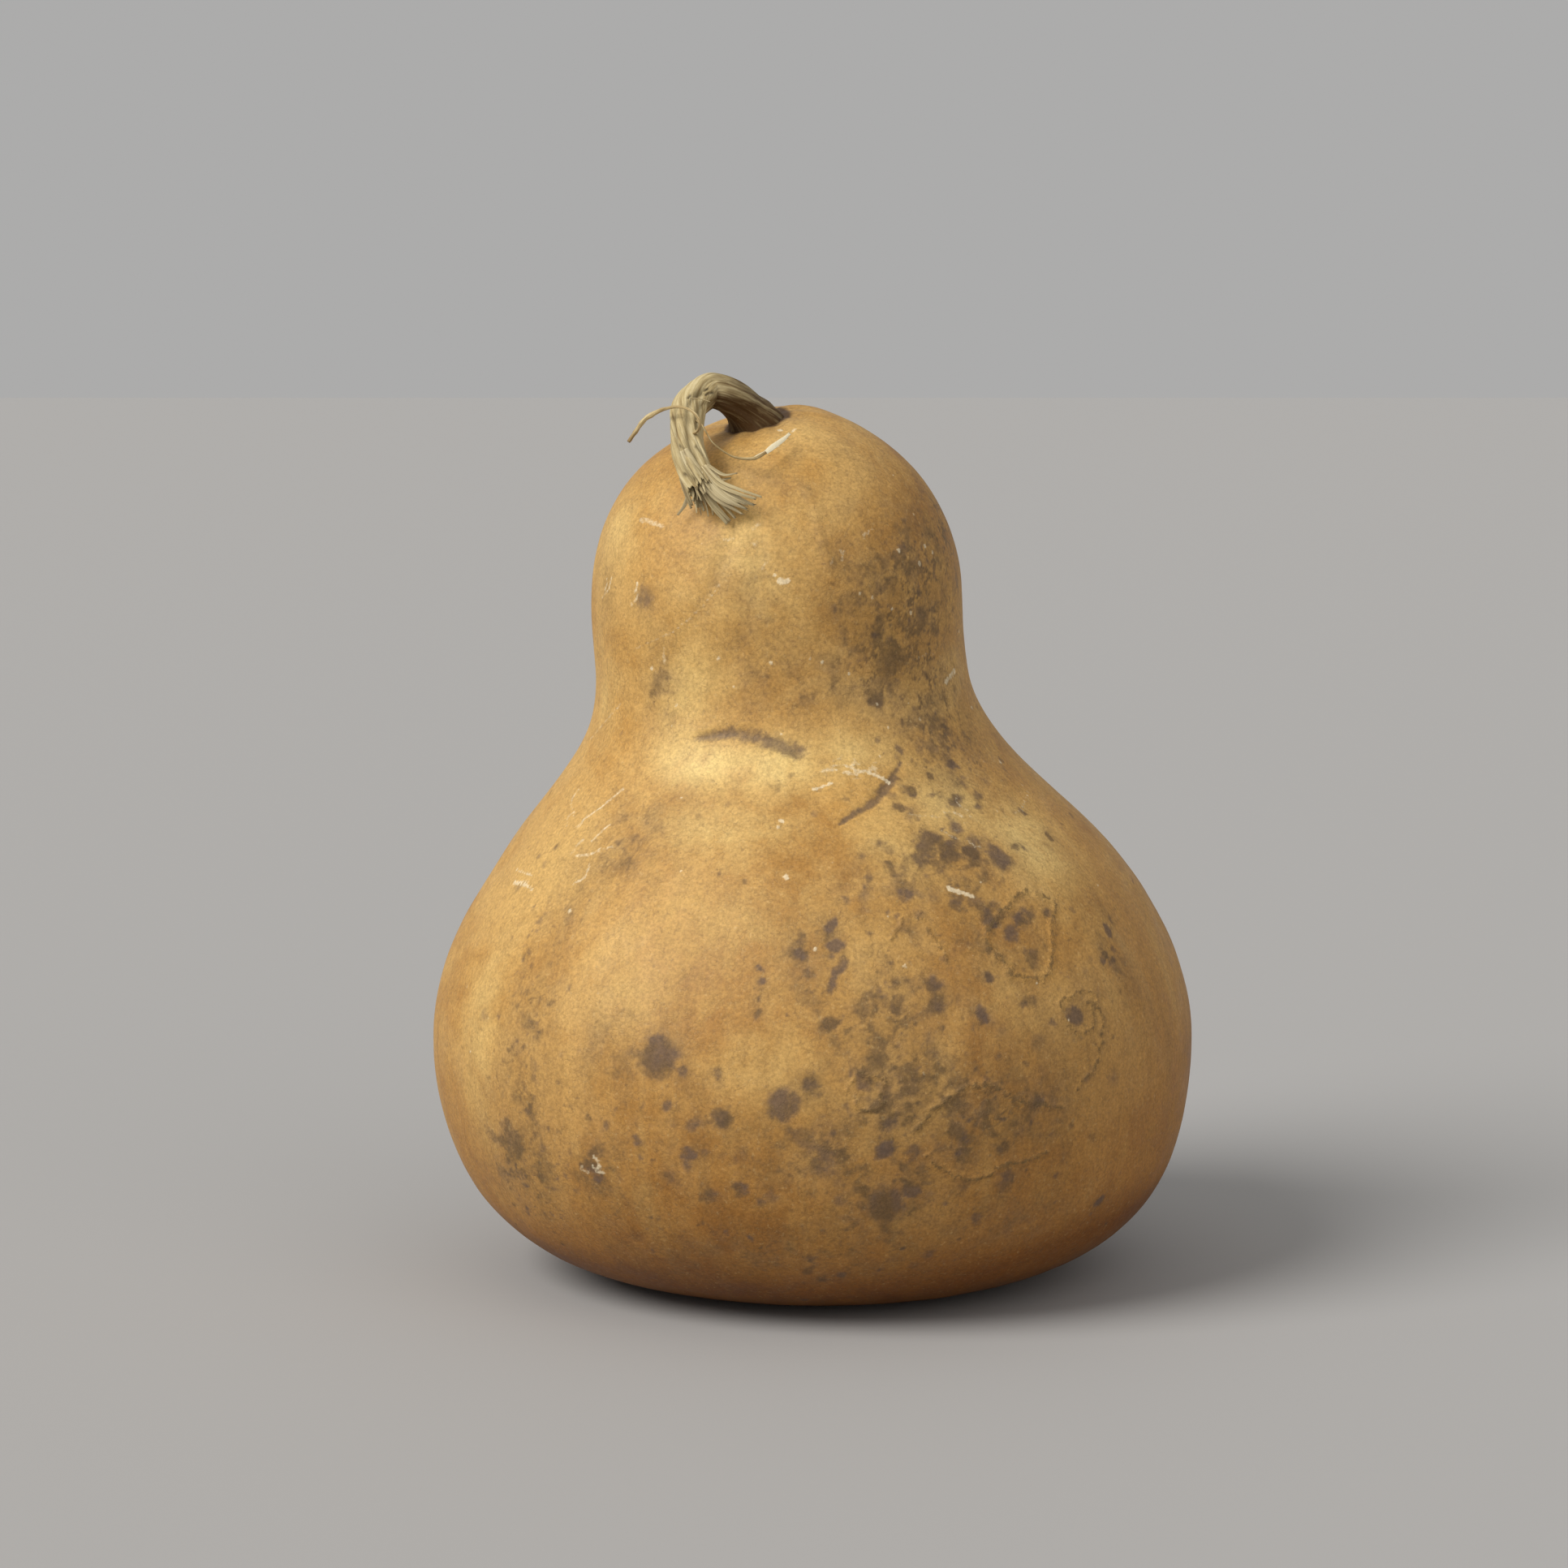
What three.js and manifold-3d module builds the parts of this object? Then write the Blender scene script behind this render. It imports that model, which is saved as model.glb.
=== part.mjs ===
// A dried bottle gourd: a double-bellied shell on a flat worn foot, the hooked dry stalk that ends in
// torn splinters, and the two dry tendrils on the stalk.
// Millimetres, +Z up, front towards -Y, right towards +X, the foot on Z = 0.
import * as THREE from "three";
import Module from "manifold-3d";

// Shell: widths.
const BULB_WIDTH = 187.4;
const SHOULDER_WIDTH = 131.2; // halfway up the slope between bulb and head
const HEAD_WIDTH = 91;
const FOOT_RADIUS = 36; // flat worn patch it stands on
const DEPTH_SHARE = 0.98; // front-to-back size over side-to-side size
const HEAD_LEAN = -9; // sideways offset of the head from the bulb
const FOOT_LEAN = 1.8; // sideways offset of the foot from the bulb

// Shell: heights, each measured from the one before.
const BULB_RISE = 59.4; // foot to the bulb's widest level
const SHOULDER_RISE = 55.9;
const WAIST_RISE = 35.9;
const HEAD_RISE = 15.1;
const CROWN_RISE = 49.7;
const LEAN_RISE = 37; // bulb's widest level to where the lean begins

// Shell: roundness of each stretch of the outline.
const UNDERSIDE_ROUNDNESS = 0.666; // share of the step from foot to bulb radius
const BULB_LOW_ROUNDNESS = 0.64; // shares of the rise that each belongs to
const BULB_HIGH_ROUNDNESS = 0.347;
const WAIST_ROUNDNESS = 0.403;
const HEAD_ROUNDNESS = 0.257;
const CROWN_ROUNDNESS = 0.743;
const CROWN_FLATNESS = 0.19; // share of the head radius
const SHOULDER_SLOPE = 45.8; // degrees below level
const SHOULDER_REACH = 18.7; // straightness of the slope to either side of the shoulder

// Shell: uneven growth.
const LOBE_SIZE = 0.004; // share of the radius
const LOBE_TWIST = 0.012; // radians a millimetre
const SINK_DEPTH = 4.6; // hollow in the crown that the stalk grows from
const SINK_RADIUS = 16;
const SINK_OFFSET = new THREE.Vector2(-9, -6); // from the head's centre line

// Stalk. A shell station is [azimuth, tilt, lift, share of the half width]: degrees round and down from
// the head's upright axis, then millimetres off the shell.
const SEAT_GAP = 0.3; // clearance where one piece grows out of another
const STALK_WIDTH = 8.2;
const STALK_STATIONS = [
  [238, 12.5, -12, 1.6],
  [238, 12.5, -4.4, 1.4],
  [235, 15.5, 0.8, 1.16],
  [229, 19.5, 5.8, 1.05],
  [222, 23, 8.5, 1.02],
  [223, 29, 8.9, 1],
  [228, 35, 8.7, 0.98],
  [235.5, 43, 8.2, 0.93],
  [241.5, 50, 7.3, 0.9],
  [246.5, 56, 5.8, 0.76],
];
const STALK_RIDGES = 5;
const STALK_RIDGE_SIZE = 0.07; // share of the stalk's half width
const STALK_TWIST = 2.6; // radians from root to torn end

// Stations beside the stalk are [share along it, right, out, share of the half width]: right and out
// in half widths of the stalk. Past 1 the share counts half widths beyond the torn end.
const SPLINTER_WIDTH = 2; // of an even splinter
const SPLINTER_FLATNESS = 0.45; // thickness over width
const SPLINTERS = [
  [[0.93, -0.75, 0.2, 0.9], [0.98, -0.9, -0.1, 0.9], [1.5, -1, -0.4, 0.5]],
  [[0.95, -0.2, -0.2, 1], [1.05, -0.25, -0.4, 0.9], [1.65, -0.15, -0.6, 0.6]],
  [[0.96, -0.1, -0.2, 1], [1.6, -0.15, -0.4, 0.8], [2.5, -0.1, -0.6, 0.5]],
  [[0.97, 0.2, 0.1, 1.3], [2.3, 0.5, -0.1, 1.2], [3.45, 0.75, -0.4, 0.7]],
  [[0.95, 0.25, 0.2, 1.6], [1.8, 0.9, 0.1, 2.4], [3, 1.45, -0.35, 1.8]],
  [[0.95, 0.35, 0.3, 1], [1.9, 1.55, 0.4, 0.7], [3.2, 2.85, 0.2, 0.5]],
  [[0.93, 0.35, 0.1, 0.9], [1.05, 1.25, 0.3, 0.7], [1.35, 2.35, 0.5, 0.5]],
  [[0.94, -0.55, -0.1, 1.1], [0.99, -1.1, -0.4, 0.8], [1.8, -2.1, -0.3, 0.5]],
];

const LEFT_TENDRIL_WIDTH = 0.9;
const LEFT_TENDRIL_STATIONS = [
  [0.785, 0.6, 0.55, 0.9],
  [0.815, 1.15, 1.25, 0.9],
  [0.805, 1.4, 1.6, 0.9],
  [0.78, 1.3, 1.8, 0.9],
  [0.755, 0.95, 1.85, 0.9],
  [0.725, 0.25, 1.75, 0.95],
  [0.705, -0.7, 1.6, 1.1],
  [0.705, -1.5, 1.5, 1.6],
  [0.715, -2.15, 1.4, 1.3],
  [0.755, -3.2, 1.1, 1],
];
const RIGHT_TENDRIL_WIDTH = 0.7;
const RIGHT_TENDRIL_ROOT_STATIONS = [
  [0.725, 0.8, 0.4, 1],
  [0.78, 1.3, 0.9, 1],
  [0.815, 1.45, 0.8, 1],
  [0.85, 1.6, 0.3, 1],
];
const RIGHT_TENDRIL_SHELL_STATIONS = [
  [254.2, 45.3, 5.8, 1],
  [261.5, 44.8, 4.6, 1.2],
  [266, 42, 4, 2.1],
  [271, 37.5, 3.6, 2.3],
  [277, 33.4, 3.2, 1],
];

// Mesh fineness.
const SHELL_RINGS = 48;
const SHELL_SIDES = 48;
const STALK_RINGS = 40;
const STALK_SIDES = 20;
const SPLINTER_RINGS = 8;
const SPLINTER_SIDES = 8;
const TENDRIL_RINGS = 30;
const TENDRIL_SIDES = 8;

const BULB_RADIUS = BULB_WIDTH / 2;
const HEAD_RADIUS = HEAD_WIDTH / 2;
const SHOULDER_Z = BULB_RISE + SHOULDER_RISE;
const WAIST_Z = SHOULDER_Z + WAIST_RISE;
const HEAD_Z = WAIST_Z + HEAD_RISE;
const CROWN_Z = HEAD_Z + CROWN_RISE;
const HEAD_CENTRE = new THREE.Vector3(HEAD_LEAN, 0, HEAD_Z);

const wasm = await Module();
wasm.setup();

// The shell's outline: x is the radius, y the level, from the foot's rim to the crown.
function shellOutline() {
  const underside = UNDERSIDE_ROUNDNESS * (BULB_RADIUS - FOOT_RADIUS);
  const slope = THREE.MathUtils.degToRad(SHOULDER_SLOPE);
  const runX = SHOULDER_REACH * Math.cos(slope);
  const runZ = SHOULDER_REACH * Math.sin(slope);
  const shoulder = SHOULDER_WIDTH / 2;
  const outline = new THREE.Path();
  outline.moveTo(FOOT_RADIUS, 0);
  outline.bezierCurveTo(
    FOOT_RADIUS + underside, 0,
    BULB_RADIUS, BULB_RISE * (1 - BULB_LOW_ROUNDNESS),
    BULB_RADIUS, BULB_RISE,
  );
  outline.bezierCurveTo(
    BULB_RADIUS, BULB_RISE + BULB_HIGH_ROUNDNESS * SHOULDER_RISE,
    shoulder + runX, SHOULDER_Z - runZ,
    shoulder, SHOULDER_Z,
  );
  outline.bezierCurveTo(
    shoulder - runX, SHOULDER_Z + runZ,
    HEAD_RADIUS, WAIST_Z - WAIST_ROUNDNESS * WAIST_RISE,
    HEAD_RADIUS, WAIST_Z,
  );
  outline.bezierCurveTo(
    HEAD_RADIUS, WAIST_Z + HEAD_ROUNDNESS * HEAD_RISE,
    HEAD_RADIUS, HEAD_Z - HEAD_ROUNDNESS * HEAD_RISE,
    HEAD_RADIUS, HEAD_Z,
  );
  outline.bezierCurveTo(
    HEAD_RADIUS, HEAD_Z + CROWN_ROUNDNESS * CROWN_RISE,
    CROWN_FLATNESS * HEAD_RADIUS, CROWN_Z,
    0, CROWN_Z,
  );
  return outline.getSpacedPoints(SHELL_RINGS);
}

// Sideways offset of the shell's centre line at a level.
function leanAt(z) {
  const head = HEAD_LEAN * THREE.MathUtils.smoothstep(z, BULB_RISE + LEAN_RISE, HEAD_Z);
  return head + FOOT_LEAN * (1 - THREE.MathUtils.smoothstep(z, 0, BULB_RISE));
}

// A point of the shell at one radius, level and angle, with the lobes and the sunken stalk seat.
function shellPoint(radius, z, angle) {
  const grown = radius * (1 + LOBE_SIZE * Math.sin(2 * angle + LOBE_TWIST * z));
  const x = leanAt(z) + grown * Math.cos(angle);
  const y = grown * Math.sin(angle) * DEPTH_SHARE;
  const apart = Math.hypot(x - HEAD_LEAN - SINK_OFFSET.x, y - SINK_OFFSET.y) / SINK_RADIUS;
  const sunk = SINK_DEPTH * Math.exp(-apart * apart) * THREE.MathUtils.smoothstep(z, HEAD_Z, CROWN_Z);
  return new THREE.Vector3(x, y, z - sunk);
}

// A closed skin over rings of points that run anticlockwise about the way they advance.
function closedSkin(rings, startPoint, endPoint) {
  const sides = rings[0].length;
  const points = [...rings.flat(), startPoint, endPoint];
  const start = rings.length * sides;
  const index = [];
  for (let side = 0; side < sides; side += 1) {
    const next = (side + 1) % sides;
    index.push(start, next, side);
    for (let ring = 0; ring + 1 < rings.length; ring += 1) {
      const low = ring * sides;
      const high = low + sides;
      index.push(low + side, low + next, high + next, low + side, high + next, high + side);
    }
    const last = (rings.length - 1) * sides;
    index.push(start + 1, last + side, last + next);
  }
  const geometry = new THREE.BufferGeometry().setFromPoints(points);
  geometry.setIndex(index);
  return geometry;
}

// The shell's skin, moved outwards by swell.
function shellSkin(swell) {
  const outline = shellOutline();
  const rings = [];
  for (let row = 0; row + 1 < outline.length; row += 1) {
    const along = outline[row + 1].clone().sub(outline[Math.max(row - 1, 0)]).normalize();
    const radius = outline[row].x + swell * along.y;
    const z = row === 0 ? -swell : outline[row].y - swell * along.x;
    const ring = [];
    for (let side = 0; side < SHELL_SIDES; side += 1)
      ring.push(shellPoint(radius, z, (side / SHELL_SIDES) * 2 * Math.PI));
    rings.push(ring);
  }
  return closedSkin(rings, shellPoint(0, -swell, 0), shellPoint(0, CROWN_Z + swell, 0));
}

// How far the outline lies from the head's centre, at a tilt down from upright.
function headReach(tilt) {
  const outline = shellOutline();
  const tiltOf = (point) => Math.atan2(point.x, point.y - HEAD_Z);
  let row = outline.length - 1;
  while (row > 1 && tiltOf(outline[row - 1]) < tilt) row -= 1;
  const [low, high] = [outline[row - 1], outline[row]];
  const share = (tilt - tiltOf(high)) / (tiltOf(low) - tiltOf(high));
  return high.clone().lerp(low, share).distanceTo(new THREE.Vector2(0, HEAD_Z));
}

// The point of a shell station.
function aboveShell([azimuth, tilt, lift]) {
  const around = THREE.MathUtils.degToRad(azimuth);
  const down = THREE.MathUtils.degToRad(tilt);
  const way = new THREE.Vector3(
    Math.sin(down) * Math.cos(around),
    Math.sin(down) * Math.sin(around) * DEPTH_SHARE,
    Math.cos(down),
  );
  return way.multiplyScalar(headReach(down) + lift).add(HEAD_CENTRE);
}

// The point of a station beside the stalk.
function besideStalk([share, right, out]) {
  const path = new THREE.CatmullRomCurve3(STALK_STATIONS.map(aboveShell));
  const point = path.getPoint(Math.min(share, 1));
  const along = path.getTangent(Math.min(share, 1));
  const outward = point.clone().sub(HEAD_CENTRE);
  outward.addScaledVector(along, -outward.dot(along)).normalize();
  const rightward = new THREE.Vector3().crossVectors(outward, along);
  const half = STALK_WIDTH / 2;
  point.addScaledVector(along, Math.max(share - 1, 0) * half);
  return point.addScaledVector(rightward, right * half).addScaledVector(outward, out * half);
}

// A solid swept through points, each with its half width. The reference is a direction that the path
// never takes, and section(share, angle) gives the two shares of the half width.
function sweptSolid(points, halfWidths, reference, section, rings, sides, swell) {
  const path = new THREE.CatmullRomCurve3(points);
  const widths = new THREE.SplineCurve(halfWidths.map((half, at) => new THREE.Vector2(at, half)));
  const loops = [];
  for (let ring = 0; ring <= rings; ring += 1) {
    const share = ring / rings;
    const centre = path.getPoint(share);
    const along = path.getTangent(share);
    const across = reference.clone().addScaledVector(along, -reference.dot(along)).normalize();
    const out = new THREE.Vector3().crossVectors(along, across);
    const half = widths.getPoint(share).y;
    const loop = [];
    for (let side = 0; side < sides; side += 1) {
      const offset = section(share, (side / sides) * 2 * Math.PI).multiplyScalar(half);
      offset.setLength(offset.length() + swell);
      loop.push(centre.clone().addScaledVector(across, offset.x).addScaledVector(out, offset.y));
    }
    loops.push(loop);
  }
  return solidOf(closedSkin(loops, path.getPoint(0), path.getPoint(1)));
}

function halfWidths(stations, width) {
  return stations.map((station) => (station[3] * width) / 2);
}

function solidOf(geometry) {
  return new wasm.Manifold(
    new wasm.Mesh({
      numProp: 3,
      vertProperties: geometry.getAttribute("position").array,
      triVerts: new Uint32Array(geometry.index.array),
    }),
  );
}

function geometryOf(solid) {
  const mesh = solid.getMesh();
  const geometry = new THREE.BufferGeometry();
  geometry.setAttribute("position", new THREE.BufferAttribute(mesh.vertProperties, 3));
  geometry.setIndex(new THREE.BufferAttribute(mesh.triVerts, 1));
  geometry.computeVertexNormals();
  return geometry;
}

function roundSection(share, angle) {
  return new THREE.Vector2(Math.cos(angle), Math.sin(angle));
}

function ridgedSection(share, angle) {
  const ridge = STALK_RIDGE_SIZE * Math.cos(STALK_RIDGES * angle + STALK_TWIST * share);
  return roundSection(share, angle).multiplyScalar(1 + ridge);
}

function flatSection(share, angle) {
  return new THREE.Vector2(Math.cos(angle), SPLINTER_FLATNESS * Math.sin(angle));
}

// Level direction square to the arch, for the stalk.
function archSide() {
  const root = aboveShell(STALK_STATIONS[0]);
  const end = aboveShell(STALK_STATIONS[STALK_STATIONS.length - 1]);
  return new THREE.Vector3(end.y - root.y, root.x - end.x, 0).normalize();
}

function stalkTrunk(swell) {
  const points = STALK_STATIONS.map(aboveShell);
  const halves = halfWidths(STALK_STATIONS, STALK_WIDTH);
  return sweptSolid(points, halves, archSide(), ridgedSection, STALK_RINGS, STALK_SIDES, swell);
}

// A flat splinter that lies along the shell under it.
function splinter(stations) {
  const points = stations.map(besideStalk);
  const offShell = points[0].clone().sub(HEAD_CENTRE);
  const across = new THREE.Vector3().crossVectors(offShell, points[2].clone().sub(points[0])).normalize();
  const halves = halfWidths(stations, SPLINTER_WIDTH);
  return sweptSolid(points, halves, across, flatSection, SPLINTER_RINGS, SPLINTER_SIDES, 0);
}

// A thin tendril whose root is cut back from the stalk by the seat gap.
function tendril(points, halves) {
  const front = new THREE.Vector3(0, -1, 0);
  const thread = sweptSolid(points, halves, front, roundSection, TENDRIL_RINGS, TENDRIL_SIDES, 0);
  return geometryOf(thread.subtract(stalkTrunk(SEAT_GAP)));
}

function leftTendril() {
  const points = LEFT_TENDRIL_STATIONS.map(besideStalk);
  return tendril(points, halfWidths(LEFT_TENDRIL_STATIONS, LEFT_TENDRIL_WIDTH));
}

function rightTendril() {
  const near = RIGHT_TENDRIL_ROOT_STATIONS;
  const far = RIGHT_TENDRIL_SHELL_STATIONS;
  const points = [...near.map(besideStalk), ...far.map(aboveShell)];
  return tendril(points, halfWidths([...near, ...far], RIGHT_TENDRIL_WIDTH));
}

function shellBody() {
  return geometryOf(solidOf(shellSkin(0)));
}

// The stalk with its splinters, cut back from the shell by the seat gap.
function stalk() {
  const whole = SPLINTERS.reduce((grown, stations) => grown.add(splinter(stations)), stalkTrunk(0));
  return geometryOf(whole.subtract(solidOf(shellSkin(SEAT_GAP))));
}

function piece(name, geometry, colour, roughness) {
  const mesh = new THREE.Mesh(geometry, new THREE.MeshStandardMaterial({ color: colour, roughness }));
  mesh.name = name;
  return mesh;
}

const gourd = new THREE.Group();
gourd.name = "dried_bottle_gourd";
gourd.add(piece("gourd_body", shellBody(), 0xc08f4a, 0.55));
gourd.add(piece("stem", stalk(), 0xb9a072, 0.8));
gourd.add(piece("tendril_left", leftTendril(), 0xb4935c, 0.8));
gourd.add(piece("tendril_right", rightTendril(), 0xd8c08a, 0.8));

// The origin lies under the middle of the whole.
const middle = new THREE.Box3().setFromObject(gourd).getCenter(new THREE.Vector3());
gourd.position.set(-middle.x, -middle.y, 0);

export default gourd;
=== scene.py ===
"""A dried bottle gourd: a double-bellied shell with a hooked, torn stalk and two dry tendrils.

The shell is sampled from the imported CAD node, smoothed and then worn in mesh code. The stalk and
the tendrils follow the stations that the CAD part has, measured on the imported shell. Lengths are
metres, and the tables of marks and stations are in the units that their comments give.
"""

import math

import bpy
import numpy as np
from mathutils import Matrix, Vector
from mathutils.bvhtree import BVHTree


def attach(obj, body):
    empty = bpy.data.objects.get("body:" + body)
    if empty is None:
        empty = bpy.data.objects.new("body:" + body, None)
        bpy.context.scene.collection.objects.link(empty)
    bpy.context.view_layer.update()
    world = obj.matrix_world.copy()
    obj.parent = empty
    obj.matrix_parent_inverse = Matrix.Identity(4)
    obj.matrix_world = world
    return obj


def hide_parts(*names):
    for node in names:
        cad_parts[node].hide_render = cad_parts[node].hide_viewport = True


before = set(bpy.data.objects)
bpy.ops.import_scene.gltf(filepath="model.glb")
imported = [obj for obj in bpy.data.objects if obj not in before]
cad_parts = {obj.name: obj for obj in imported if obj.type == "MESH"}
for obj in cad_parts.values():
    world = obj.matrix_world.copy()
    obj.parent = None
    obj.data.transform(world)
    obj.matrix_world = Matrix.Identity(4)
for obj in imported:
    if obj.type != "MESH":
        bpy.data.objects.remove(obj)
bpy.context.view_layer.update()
scene = bpy.context.scene

MM = 0.001

# ---------------------------------------------------------------- the shell's sampling

COLUMNS, ROWS = ((768, 600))
MISSED_REACH = 50 * MM       # how far out a ray ends if it meets nothing
CAST_COLUMNS = 128          # rays round the shell; the rest is interpolated
KEPT_HARMONICS = 14         # shape kept round the shell, which drops the CAD's facets
SMOOTH_LENGTH = 3.6 * MM    # facets are smoothed away over this length up the shell
SEAM_ANGLE = math.pi / 2    # the map's seam is at the back
BULB_CENTRE = Vector((0.0, 0.0, 61 * MM))
HEAD_CENTRE = Vector((-9 * MM, 0.0, 166.3 * MM))
STALK_FOOT = np.array((-13.2, -6.5, 209.0)) * MM
FOOT_RADIUS = 34 * MM       # the part of the foot that is kept flat
FOOT_ASIDE = 1.8 * MM

# ---------------------------------------------------------------- marks on the shell
# Marks are (x, z, ...) in millimetres, as seen along a view: 0 looks along +Y at the front.

# ---------------------------------------------------------------- marks on the shell
# Marks are (x, z, ...) in millimetres, as seen along a level view: 0 degrees looks along +Y at the
# front. The marks that catch the eye have a row each, and the small ones gather in seeded groups.

# the stains that catch the eye: (x, z, size, strength)
STAINS = [
    (-36, 68, 5, 1.0), (-7, 58, 4, 1.0), (-3, 50, 3, 0.6), (2, 44, 3, 0.7), (-21, 54, 2, 0.9),
    (-51, 40, 2, 0.9), (16, 34, 5, 0.9), (16, 47, 2, 0.9), (12, 63, 2, 0.7), (-1, 63, 2, 0.9),
    (61, 74, 2, 1.0), (3, 76, 2, 1.0), (5, 93, 2, 1.0), (4, 85, 1, 0.9), (27, 84, 2, 0.9),
    (28, 80, 2, 0.9), (18, 79, 1, 0.9), (26, 113, 3, 1.0), (37, 111, 2, 1.0), (33, 117, 2, 0.7),
    (44, 109, 3, 0.9), (21, 103, 2, 0.8), (33, 101, 2, 0.8), (46, 94, 2, 0.8), (51, 88, 2, 0.7),
    (15, 145, 2, 0.8), (-40, 169, 3, 0.6)]
# a file of small dots down the bulb: (x, lowest z, step, how many)
DOT_FILE = (-12, 79, 3, 4)
# groups of small stains: (x, z, half width, half height, how many, smallest, largest)
STAIN_GROUPS = [
    (32, 113, 9, 5, 12, 1.0, 2.4), (28, 127, 5, 5, 9, 0.9, 1.5), (1, 95, 4, 6, 7, 0.8, 1.5),
    (46, 97, 4, 5, 7, 1.2, 2.0), (44, 77, 12, 5, 7, 0.9, 1.6), (56, 115, 5, 4, 4, 0.8, 1.2),
    (72, 85, 3, 9, 7, 0.7, 1.2), (-32, 55, 6, 6, 9, 0.8, 1.6), (-51, 44, 2, 6, 5, 0.8, 1.6),
    (-26, 38, 9, 5, 6, 1.0, 2.2), (0, 13, 5, 4, 6, 0.8, 1.5), (42, 45, 17, 9, 9, 1.2, 2.2),
    (16, 109, 4, 4, 6, 0.6, 1.2)]
# brown mould: (x, z, half width, half height, strength)
CLOUDS = [
    (-69, 38, 12, 14, 0.85), (-66, 72, 7, 24, 0.6), (-58, 97, 5, 15, 0.4), (-43, 113, 13, 12, 0.55),
    (-46, 69, 10, 10, 0.45), (-48, 38, 15, 12, 0.45), (-74, 34, 8, 10, 0.3), (-28, 52, 15, 10, 0.3),
    (0, 90, 6, 14, 0.75), (16, 74, 9, 14, 0.9), (21, 68, 17, 21, 0.4), (22, 60, 12, 10, 0.75),
    (34, 49, 18, 9, 0.7),
    (18, 92, 7, 13, 0.45), (34, 106, 13, 12, 0.65), (43, 91, 9, 10, 0.6), (44, 62, 14, 8, 0.3),
    (62, 74, 8, 10, 0.35), (71, 86, 7, 24, 0.4), (56, 53, 10, 9, 0.35), (44, 28, 24, 8, 0.35),
    (0, 45, 16, 8, 0.6), (14, 36, 12, 9, 0.6), (-10, 20, 42, 8, 0.4), (8, 105, 11, 8, 0.25),
    (24, 177, 15, 16, 0.6), (20, 159, 15, 11, 0.75), (30, 136, 14, 15, 0.6), (-3, 148, 14, 7, 0.45),
    (10, 172, 8, 18, 0.35), (-13, 164, 7, 14, 0.4), (-36, 147, 5, 12, 0.5), (-50, 173, 6, 10, 0.4),
    (-25, 176, 5, 12, 0.2), (-12, 196, 11, 4, 0.3), (8, 203, 12, 6, 0.3)]
# paler, yellower skin, with painted highlights on the neck's front and the left flank: (x, z, half width,
# half height, strength)
PALE_SKIN_AND_HIGHLIGHTS = [
    (-27, 131, 11, 5, 1.0), (-8, 131, 9, 6, 0.9), (10, 134, 9, 5, 0.5), (-22, 117, 17, 6, 0.5),
    (-80, 66, 8, 26, 0.5), (-61, 107, 14, 14, 0.12), (-41, 81, 12, 11, 0.2), (-16, 98, 17, 14, 0.22),
    (51, 112, 11, 12, 0.8), (32, 122, 11, 9, 0.55), (18, 113, 9, 10, 0.35), (-30, 147, 9, 15, 0.5),
    (-14, 180, 12, 15, 0.5), (-50, 145, 6, 10, 0.4), (-47, 185, 10, 9, 0.4), (9, 209, 32, 4, 0.25),
    (46, 78, 11, 9, 0.2), (-12, 66, 13, 9, 0.25)]
# (line, half width at the start, half width at the end, depth, darkness)
CREASE = [(-30, 136), (-19, 138), (-9, 136), (-1, 133)]
CRESCENT_TOP = [(21, 132), (18, 127), (14, 123)]
CRESCENT_TAIL = [(19, 128), (14, 123), (5, 118)]
HEAD_FOLD = [(-18, 187), (-25, 170), (-35, 152), (-38, 143), (-37, 136)]
SIDE_FOLD = [(-14, 186), (-13, 173), (-19, 152)]
CROWN_FOLD = [(-22, 201), (-23, 191), (-26, 184)]
GROOVES = [
    (CREASE, 0.9, 2.7, 0.5, 0.85), (CRESCENT_TOP, 0.5, 1.5, 0.3, 0.95),
    (CRESCENT_TAIL, 1.6, 0.55, 0.4, 1), (HEAD_FOLD, 2.2, 3, 0.3, 0.26), (SIDE_FOLD, 2.6, 3.4, 0.25, 0.3),
    (CROWN_FOLD, 2, 2.6, 0.25, 0.25)]
# raised lines that branch on the head: (line, half width, height, darkness)
FORK = (2, 183)
VEINS = [
    ([(-22, 201), (-11, 198), (-2, 195), FORK, (4, 175)], 1.4, 0.26, 0.3),
    ([FORK, (9, 178), (17, 176), (28, 166)], 0.9, 0.14, 0.45),
    ([FORK, (9, 168), (9, 160)], 0.9, 0.12, 0.45), ([(9, 178), (18, 167), (22, 158)], 0.8, 0.12, 0.4)]
# pale scratches that catch the eye: (line, half width, strength)
SCRATCHES = [
    ([(-22, 173), (-31, 163), (-42, 157)], 0.52, 0.45), ([(-45, 124), (-55, 116)], 0.55, 0.7),
    ([(-46, 143), (-54, 133)], 0.52, 0.5), ([(31, 104), (37, 102)], 0.75, 0.95),
    ([(23, 154), (29, 155), (34, 150)], 0.52, 0.45), ([(34, 150), (32, 148)], 0.9, 0.8),
    ([(2, 130), (7, 131), (18, 127)], 0.55, 0.6), ([(13, 129), (18, 127)], 0.6, 0.95),
    ([(0, 126), (4, 127)], 0.52, 0.9), ([(-41, 187), (-36, 186)], 0.9, 0.6),
    ([(-8, 174), (-6, 174)], 0.9, 0.95), ([(22, 120), (30, 119)], 0.52, 0.5)]
# groups of short scratches: (x, z, spread, how many, lean in degrees, length, strength)
SCRATCH_GROUPS = [
    (-58, 113, 9, 8, 40, 6, 0.65), (-70, 100, 4, 3, 10, 4, 0.8), (-46, 170, 8, 6, 70, 3, 0.65),
    (35, 118, 5, 7, 150, 4, 0.5), (47, 120, 4, 3, 20, 4, 0.6), (10, 180, 7, 5, 60, 2, 0.5),
    (-15, 180, 9, 4, 20, 2, 0.6), (-50, 40, 3, 3, 120, 4, 0.75), (-6, 211, 3, 2, 20, 1, 1.0),
    (-6, 112, 10, 2, 0, 1, 1.0)]
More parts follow.
